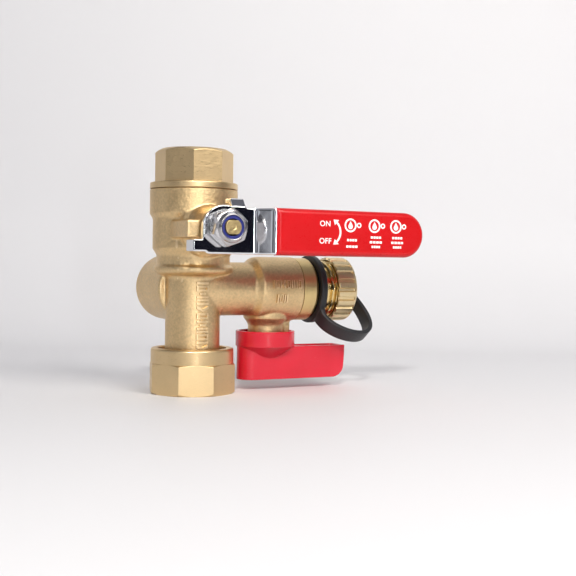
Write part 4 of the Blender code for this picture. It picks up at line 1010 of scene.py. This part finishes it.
# ------------------------------------------------ union

def make_union():
    corner = UNION_TURN - math.pi / 2
    thread = threaded(1.2, RING_Z - 2.4, PORT_PITCH, PORT_THREAD)

    def shape(radius, angle, height):
        flat = polygon_radius(angle, 8, UNION_FLATS, corner)
        cut = (radius > 17.5) & (height < NUT_BAND_LOW + 0.02)
        bore = (radius < 13.2) & (height < RING_Z - 2.0)
        inside = np.where(bore, thread(radius, angle, height), radius)
        return np.where(cut, soft_min(radius, flat, 0.3), inside)
    path = dense(filleted([
        (UNION_MOUTH_R, NUT_BAND_TOP, 0.25), (NUT_BAND_R, NUT_BAND_TOP, 1.0),
        (NUT_BAND_R, NUT_BAND_LOW + 0.1), (NUT_BAND_R, NUT_BAND_LOW), (UNION_CORNER_R, NUT_BAND_LOW - 0.55),
        (UNION_CORNER_R, 1.1), (UNION_FACE_R, 0.0, 0.4), (13.7, 0.0), (PORT_BORE_R, 1.0),
        (PORT_BORE_R, RING_Z - 2.0), (UNION_POCKET_R, RING_Z - 2.0), (UNION_POCKET_R, RING_Z + 2.1),
        (TUBE_R + 0.45, RING_Z + 2.1), (TUBE_R + 0.45, 17.2), (UNION_MOUTH_R, 17.2),
    ]), 0.22)
    nut = spun("union_nut_turned", path, steps=192, shape=shape, start=corner)
    finish_piece(nut, "union", "union_nut", MILLED, 32)

    curve = bpy.data.curves.new("retaining_ring", "CURVE")
    curve.dimensions = "3D"
    curve.bevel_depth = RING_WIRE
    curve.bevel_resolution = 5
    curve.use_fill_caps = True
    add_path(curve, arc((0, 0), RING_GROOVE_R + GAP + RING_WIRE, 110, 430, 80), False)
    mesh = curve_mesh("retaining_ring", curve)
    place(mesh, (0, 0, RING_Z), "+Z")
    finish_piece(link("retaining_ring", mesh), "valve", "union_retaining_ring", STEEL, 40)

    seal = ring_path(RUN_BORE_R + GAP, TUBE_R - 0.1, TUBE_END - 2.4, TUBE_END - 0.4, 0.3)
    finish_piece(spun("union_seal", seal), "valve", "union_washer", RUBBER, 30)


# ------------------------------------------------ drain cock

def make_drain_connector():
    thread = threaded(61.6, HOSE_END - 0.3, HOSE_PITCH, HOSE_THREAD, False)

    def shape(radius, angle, height):
        return np.where(radius > 11.0, thread(radius, angle, height), radius)
    root = HOSE_R - HOSE_THREAD
    path = dense(filleted([
        (9.6, HOSE_END, 0.3), (root - 0.4, HOSE_END, 0.2), (root, HOSE_END - 0.5), (root, 61.4, 0.2),
        (STRAP_GROOVE_R, 61.2), (STRAP_GROOVE_R, 57.0, 0.2), (13.3, 56.85, 0.3),
        (HOSE_COLLAR_R, NECK_CONE_END, 0.9), (HOSE_COLLAR_R, HOUSING_END + GAP, 0.2),
        (11.0, HOUSING_END + GAP), (11.0, DRAIN_X + 6.3), (DRAIN_SEAT_R + GAP, DRAIN_X + 6.3),
        (DRAIN_SEAT_R + GAP, DRAIN_X + DRAIN_FAR + GAP), (DRAIN_BORE_R, DRAIN_X + DRAIN_FAR + GAP),
        (DRAIN_BORE_R, 50.0), (9.6, 53.0),
    ]), 0.25)
    neck = spun("hose_neck", path, TEE_C, "+X", 144, shape)
    finish_piece(neck, "valve", "drain_end_connector", TURNED_X, 34)


def make_drain_stem():
    end = TEE_Z - WEB_LOW - GAP
    groove = 2.0
    profile = [(0, end - 5), (1.5, end - 5), (1.5, end - 0.4), (1.9, end),
               (DRAIN_STEM_R - 0.4, end, 0.1), (DRAIN_STEM_R, end - 0.4)]
    for low, name in ((17.4, "lower"), (14.0, "upper")):
        profile += [(DRAIN_STEM_R, low + 1.6), (groove, low + 1.6), (groove, low), (DRAIN_STEM_R, low)]
        section = [(2.75 + 0.5 * math.cos(a), low + 0.8 + 0.5 * math.sin(a))
                   for a in (-TAU * i / 16 for i in range(16))]
        ring = spun(f"drain_stem_ring_{name}", section, DRAIN_C, "-Z")
        finish_piece(ring, "drain_spindle", f"drain_o_ring_{name}", RUBBER, 60)
    profile += [(DRAIN_STEM_R, 11.4), (4.6, 11.4, 0.2), (4.6, 9.9), (0, 9.9)]
    flats = two_flats(TEE_Z - CUP_FLOOR - 0.5, 2.5, 0.0)

    def shape(radius, angle, height):
        return np.where(radius > 2.2, flats(radius, angle, height), radius)
    stem = spun("drain_cock_stem", dense(filleted(profile, False), 0.3, False), DRAIN_C, "-Z", 64, shape)
    tang = block("drain_tang", (-1.1, -3.0, -10.2), (1.1, 3.0, -7.6), DRAIN_C, 0.15)
    combine(stem, "UNION", tang)
    finish_piece(stem, "drain_spindle", "drain_stem", STEM_BRASS, 40)
    washer = spun("drain_thrust_ring", ring_path(3.4, 4.6, 11.6, 11.95, 0.1), DRAIN_C, "-Z")
    finish_piece(washer, "drain_spindle", "drain_thrust_washer", PTFE, 30)


def wing_outline(inset, middle, corner):
    """The wing from above, drawn in by inset: round about middle, with two rounded corners at its tip."""
    half, end = WING_HALF - inset, WING_TIP - inset - corner
    return (arc((middle, 0), half, 90, 270, 24) + arc((end, corner - half), corner, -90, 0, 6)
            + arc((end, half - corner), corner, 0, 90, 6))


def wing_side(inset, low_edge):
    """The wing from the side, with its rounded lower corner and slanted tip. low_edge is where it starts."""
    corner, floor, end = WING_CORNER - inset, WING_LOW + inset, WING_TIP - inset
    return ([(low_edge, CUP_TOP + 1), (low_edge, floor)]
            + arc((end - WING_SLANT - corner, floor + corner), corner, -90, 0, 14)
            + [(end, CUP_LOW), (end, CUP_TOP + 1)])


def wing_solid(name, inset, middle, corner, top, low_edge, half_wide, centre):
    solid = outline_plate(name, [wing_outline(inset, middle, corner)], WING_LOW, top, centre)
    side = outline_plate(name + "_side", [wing_side(inset, low_edge)], -half_wide, half_wide, centre, "-Y")
    combine(solid, "INTERSECT", side)
    return solid


def make_drain_lever():
    centre = (DRAIN_X, 0, 0)
    cup = spun("cup", [
        (0, CUP_TOP), (CUP_R, CUP_TOP), (CUP_R, CUP_LOW), (CUP_R - 0.55, CUP_LOW - 0.35),
        (WING_HALF - 0.3, CUP_LOW - 5.6), (WING_HALF - 0.3, WING_LOW + 0.5), (0, WING_LOW + 0.5),
    ], centre)
    wing = wing_solid("wing", 0, WING_HALF - CUP_R, 1.5, WING_TOP, -CUP_R - 2, 10, centre)
    trough = wing_solid("trough", WING_WALL, CUP_R + WING_HALF - WING_WALL, 0.8, CUP_TOP, 5, 9, centre)
    hollow = spun("cup_hollow", [(0, CUP_TOP + 2), (CUP_R - 1.5, CUP_TOP + 2),
                                 (CUP_R - 1.5, CUP_FLOOR), (0, CUP_FLOOR)], centre)
    recess = spun("recess", [(0, WEB_LOW), (4.6, WEB_LOW), (4.6, WING_LOW - 1),
                             (0, WING_LOW - 1)], centre, "+Z", 64)
    hole = spun("lever_bore", [(0, CUP_FLOOR + 1), (DRAIN_STEM_R + GAP, CUP_FLOOR + 1),
                               (DRAIN_STEM_R + GAP, WEB_LOW - 1), (0, WEB_LOW - 1)],
                centre, "+Z", 48, two_flats(0, 2.5 + GAP, 0.0))
    combine(cup, "UNION", wing)
    combine(cup, "DIFFERENCE", trough, hollow, recess, hole)
    for i, degrees in enumerate((-21.5, 111.5)):
        inner = arc((0, 0), 8.9, degrees - 7, degrees + 7, 6)
        outer = arc((0, 0), CUP_R - 0.8, degrees + 7, degrees - 7, 6)
        combine(cup, "UNION", outline_plate(f"rib_{i}", [inner + outer], CUP_FLOOR - 0.5, 24.0, centre))
    lever = fuse("drain_lever_moulding", [cup], 0.22, 5)
    finish_piece(lever, "drain_spindle", "drain_lever", RED)


def make_drain_screw():
    top = WEB_LOW - GAP
    screw = spun("lever_screw", filleted([
        (0, top + 4.5), (1.45, top + 4.5, 0.3), (1.45, top), (3.7, top, 0.15), (3.7, top - 1.4, 0.5),
        (2.7, top - 2.4, 0.8), (0, top - 2.7),
    ], False), (DRAIN_X, 0, 0), "+Z", 64)
    low, high = top - 3, top - 1.3
    for i, (wide, tall) in enumerate(((2.0, 0.45), (0.45, 2.0))):
        combine(screw, "DIFFERENCE", block(f"cross_{i}", (-wide, -tall, low), (wide, tall, high),
                                           (DRAIN_X, 0, 0)))
    finish_piece(screw, "drain_spindle", "drain_lever_screw", STEEL, 35)


# ------------------------------------------------ hose cap and strap

def make_hose_cap():
    """A cap with flat-topped grip ribs from its open end to a plain rounded rim at its closed end."""
    bore_thread = threaded(CAP_START + 0.4, 75.8, HOSE_PITCH, 0.2)

    def shape(radius, angle, height):
        turn = np.abs(np.mod(angle / TAU * CAP_FLUTES, 1.0) - 0.5)      # 0 in a flute, 0.5 on a rib
        flute = smooth_step((0.24 - turn) / 0.11)
        open_part = smooth_step((CAP_END - 2.1 - height) / 0.5)
        grip = np.minimum(radius, CAP_R - 0.85 * flute * open_part)
        inside = np.where(radius > 13, bore_thread(radius, angle, height), radius)
        return np.where(radius > CAP_BORE_R + 0.05, grip, inside)
    path = dense(filleted([
        (1.9, CAP_END, 0.15), (12.6, CAP_END, 0.8), (CAP_R - 0.2, CAP_END - 1.5, 0.7),
        (CAP_R, CAP_END - 2.4, 0.6), (CAP_R, CAP_START, 0.4), (CAP_BORE_R, CAP_START, 0.15),
        (CAP_BORE_R, CAP_FLOOR), (1.9, CAP_FLOOR),
    ]), 0.22)
    cap = spun("hose_cap_knurled", path, TEE_C, "+X", 16 * CAP_FLUTES, shape)
    finish_piece(cap, "cap", "hose_cap", CAP_BRASS, 36)
    washer = spun("hose_seal", ring_path(9.8, 13.3, HOSE_END + 0.4, 75.7, 0.4), TEE_C, "+X")
    finish_piece(washer, "cap", "hose_cap_washer", RUBBER, 30)
    head = [(0, 82.6)] + [(RIVET_R * math.sin(a), 81.5 + 1.1 * math.cos(a))
                          for a in (math.pi / 2 * i / 10 for i in range(1, 11))]
    rivet = spun("eyelet_rivet", head + filleted([
        (RIVET_R, 81.45), (RIVET_R, EYELET_END + GAP, 0.1), (1.6, EYELET_END + GAP),
        (1.6, 76.3), (0, 76.3)], False), TEE_C, "+X", 64)
    finish_piece(rivet, "cap", "strap_rivet", CAP_BRASS, 35)


def strap_route(t):
    """Middle of the band at t from 0 to 1: distance along the branch, distance from its axis, and angle
    below the horizontal on the front side."""
    start, end = (58.95, STRAP_RING_R + GAP), (80.1, EYELET_R + GAP)
    leave, arrive = (58.2, 27.4), (97.0, 37.8)
    a, b, c, d = (1 - t) ** 3, 3 * t * (1 - t) ** 2, 3 * t * t * (1 - t), t ** 3
    x, r = (a * start[i] + b * leave[i] + c * arrive[i] + d * end[i] for i in (0, 1))
    return x, r, math.radians(48 + 10 * t)


def strap_frame(t):
    """Middle point, tangent and width direction of the band at t, run on a little past both ends."""
    inside = min(max(t, 0.0), 1.0)
    x, r, angle = strap_route(inside)
    ahead, behind = strap_route(min(inside + STRAP_STEP, 1.0)), strap_route(max(inside - STRAP_STEP, 0.0))
    out = Vector((0, -math.cos(angle), -math.sin(angle)))
    across = Vector((0, math.sin(angle), -math.cos(angle)))
    tangent = (Vector((ahead[0] - behind[0], 0, 0)) + out * (ahead[1] - behind[1])).normalized()
    return Vector((x, 0, 0)) + out * r + tangent * (t - inside) * STRAP_LENGTH, tangent, across


def strap_section(t, corners):
    """The band's rounded section at t, wider where it leaves the neck ring and narrower at the eyelet."""
    point, tangent, across = strap_frame(t)
    normal = tangent.cross(across).normalized()
    flare = max(0.0, 1 - max(t, 0) / 0.12) ** 2
    narrow = max(0.0, (t - 0.86) / 0.14)
    half_w = (STRAP_W / 2) * (1 + 0.10 * flare - 0.12 * narrow)
    half_t = STRAP_T / 2 * (1 + 0.35 * flare)
    points = []
    for u, v in corners:
        wide = half_w - STRAP_T / 2 * (1 - abs(u)) if abs(u) > 0.55 else half_w * abs(u)
        points.append(point + across * math.copysign(wide, u) + normal * half_t * v)
    return points


def make_strap():
    ring = spun("strap_ring", filleted([
        (STRAP_GROOVE_R + GAP, STRAP_RING_END, 0.3), (STRAP_RING_R, STRAP_RING_END, 0.9),
        (STRAP_RING_R, STRAP_RING_START, 0.9), (STRAP_GROOVE_R + GAP, STRAP_RING_START, 0.3),
    ], segments=7), TEE_C, "+X", 144)
    finish_piece(ring, "valve", "strap_neck_ring", RUBBER, 50)
    eyelet = spun("strap_eye", filleted([
        (2.0, EYELET_END, 0.3), (EYELET_R, EYELET_END, 0.5), (EYELET_R, EYELET_START, 0.5),
        (2.0, EYELET_START, 0.3),
    ], segments=6), TEE_C, "+X", 72)
    finish_piece(eyelet, "strap_end", "strap_eyelet", RUBBER, 50)

    corners = filleted([(-1, -1, 0.45), (1, -1, 0.45), (1, 1, 0.45), (-1, 1, 0.45)])
    n, count = len(corners), 110
    verts = [tuple(p) for i in range(count + 1)
             for p in strap_section(STRAP_FROM + (STRAP_TO - STRAP_FROM) * i / count, corners)]
    faces = [(i * n + k, i * n + (k + 1) % n, (i + 1) * n + (k + 1) % n, (i + 1) * n + k)
             for i in range(count) for k in range(n)]
    faces += [tuple(range(n))[::-1], tuple(range(count * n, count * n + n))]
    mesh = bpy.data.meshes.new("strap_web")
    mesh.from_pydata(verts, [], faces)
    place(mesh, TEE_C, "+Z")
    with edited(mesh) as bm:
        bmesh.ops.recalc_face_normals(bm, faces=bm.faces)
    mesh.shade_smooth()
    mesh.set_sharp_from_angle(angle=math.radians(60))
    slot, material = RUBBER
    mesh.materials.append(material)
    band = link("strap_web", mesh)
    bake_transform(band)
    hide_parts("strap_band")


# ------------------------------------------------ camera, stage and light

ROOM_COLOR, CEILING_COLOR = (0.57, 0.58, 0.62), (0.15, 0.15, 0.17)
SHADOW_COLOR, BACKGROUND_COLOR = (0.008, 0.008, 0.014), (0.84, 0.83, 0.85)
# in metres: where the table starts and ends, the radius of its sweep up, its top and half its width
STAGE_NEAR, STAGE_EDGE, STAGE_SWEEP, STAGE_TOP, STAGE_HALF = -1.6, 0.20, 0.10, 0.45, 1.5
# name, degrees round from the camera's side, degrees up, distance, width and height in metres, power, colour
STUDIO = (
    ("key", 0, 33, 1.0, 0.10, 0.10, 5.0, (1.0, 0.97, 0.92)),
    ("softbox", 40, 35, 0.9, 0.44, 0.30, 4.6, (1.0, 0.96, 0.90)),
    ("overhead", 165, 74, 0.9, 0.50, 0.50, 0.7, (0.97, 0.98, 1.0)),
    ("strip", 14, 4, 0.8, 0.03, 0.30, 0.8, (0.95, 0.97, 1.0)),
)


def make_camera():
    data = bpy.data.cameras.new("camera")
    data.sensor_width = 36.0
    data.lens = 63.23
    data.clip_start, data.clip_end = 0.01, 20.0
    camera = link("camera", data)
    camera.location = TO_FRAME @ Vector((-167.5, -421.7, 58.5))
    yaw, pitch, roll = math.radians(27.034), math.radians(1.44), math.radians(0.815)
    ahead = Vector((math.sin(yaw) * math.cos(pitch), math.cos(yaw) * math.cos(pitch), -math.sin(pitch)))
    right = Vector((math.cos(yaw), -math.sin(yaw), 0))
    up = right.cross(ahead)
    right, up = (math.cos(roll) * right + math.sin(roll) * up, math.cos(roll) * up - math.sin(roll) * right)
    camera.rotation_mode = "QUATERNION"
    camera.rotation_quaternion = Matrix((right, up, -ahead)).transposed().to_quaternion()
    bpy.context.scene.camera = camera
    return ahead


def make_stage(ahead):
    """A pale table top that sweeps up to a white backdrop behind the object."""
    back = Vector((ahead.x, ahead.y, 0)).normalized()
    side = Vector((back.y, -back.x, 0)) * STAGE_HALF
    arch = arc((STAGE_EDGE, STAGE_SWEEP), STAGE_SWEEP, -90, 0, 12)
    path = [(STAGE_NEAR, 0.0)] + arch + [(STAGE_EDGE + STAGE_SWEEP, STAGE_TOP)]
    verts, faces = [], []
    for i, (distance, height) in enumerate(path):
        middle = back * distance + Vector((0, 0, height))
        verts += [tuple(middle - side), tuple(middle + side)]
        if i:
            faces.append((2 * i - 2, 2 * i - 1, 2 * i + 1, 2 * i))
    mesh = bpy.data.meshes.new("backdrop")
    mesh.from_pydata(verts, [], faces)
    mesh.shade_smooth()
    mesh.materials.append(new_material("backdrop", (0.775, 0.775, 0.795), 0.6, 0.0)[0])
    link("backdrop", mesh)


def make_world(ahead):
    """A pale room with a darker zone low down in front, which the plated pieces mirror."""
    world = bpy.data.worlds.new("studio")
    bpy.context.scene.world = world
    world.use_nodes = True
    tree = world.node_tree
    where = add_node(tree, "ShaderNodeTexCoord").outputs["Generated"]
    axes = add_node(tree, "ShaderNodeSeparateXYZ")
    tree.links.new(where, axes.inputs["Vector"])
    front = add_node(tree, "ShaderNodeVectorMath", operation="DOT_PRODUCT")
    tree.links.new(where, front.inputs[0])
    to_camera = Vector((-ahead.x, -ahead.y, 0))
    front.inputs[1].default_value = Matrix.Rotation(math.radians(45), 3, "Z") @ to_camera
    shapes = add_node(tree, "ShaderNodeTexNoise", Scale=2.6, Detail=1.0)
    tree.links.new(where, shapes.inputs["Vector"])

    def step(source, start, end):
        return map_range(tree, source, start, end, kind="SMOOTHSTEP")
    up, facing = axes.outputs["Z"], front.outputs["Value"]
    furniture = math_of(tree, "MULTIPLY", step(shapes.outputs["Fac"], 0.40, 0.47), step(facing, -0.5, -0.1))
    low_down = math_of(tree, "MAXIMUM", step(facing, 0.35, 0.8), furniture)
    dark = math_of(tree, "MULTIPLY", low_down, step(up, 0.34, 0.22))
    upper = mixed(tree, step(up, 0.3, 0.65), ROOM_COLOR, CEILING_COLOR)
    room = mixed(tree, dark, upper, SHADOW_COLOR)
    seen = add_node(tree, "ShaderNodeLightPath").outputs["Is Camera Ray"]
    tree.links.new(mixed(tree, seen, room, BACKGROUND_COLOR), tree.nodes["Background"].inputs["Color"])


def make_lights(ahead):
    target = Vector((0, 0, 0.05))
    toward = Vector((-ahead.x, -ahead.y, 0)).normalized()
    for name, turn, lift, distance, wide, tall, power, color in STUDIO:
        data = bpy.data.lights.new(name, "AREA")
        data.shape = "RECTANGLE"
        data.size, data.size_y = wide, tall
        data.energy, data.color = power, color
        flat = Matrix.Rotation(math.radians(turn), 3, "Z") @ toward
        spot = flat * math.cos(math.radians(lift)) + Vector((0, 0, math.sin(math.radians(lift))))
        lamp = link(name, data)
        lamp.location = target + spot * distance
        lamp.rotation_mode = "QUATERNION"
        lamp.rotation_quaternion = (-spot).to_track_quat("-Z", "Y")


VIEW_AHEAD = make_camera()
make_stage(VIEW_AHEAD)
make_world(VIEW_AHEAD)
make_lights(VIEW_AHEAD)
make_body()
make_end_connector()
make_seats()
make_balls()
make_main_stem()
make_stem_seals()
make_lever_plate()
make_lever_sleeve()
make_print()
make_lever_nut()
make_union()
make_drain_connector()
make_drain_stem()
make_drain_lever()
make_drain_screw()
make_hose_cap()
make_strap()
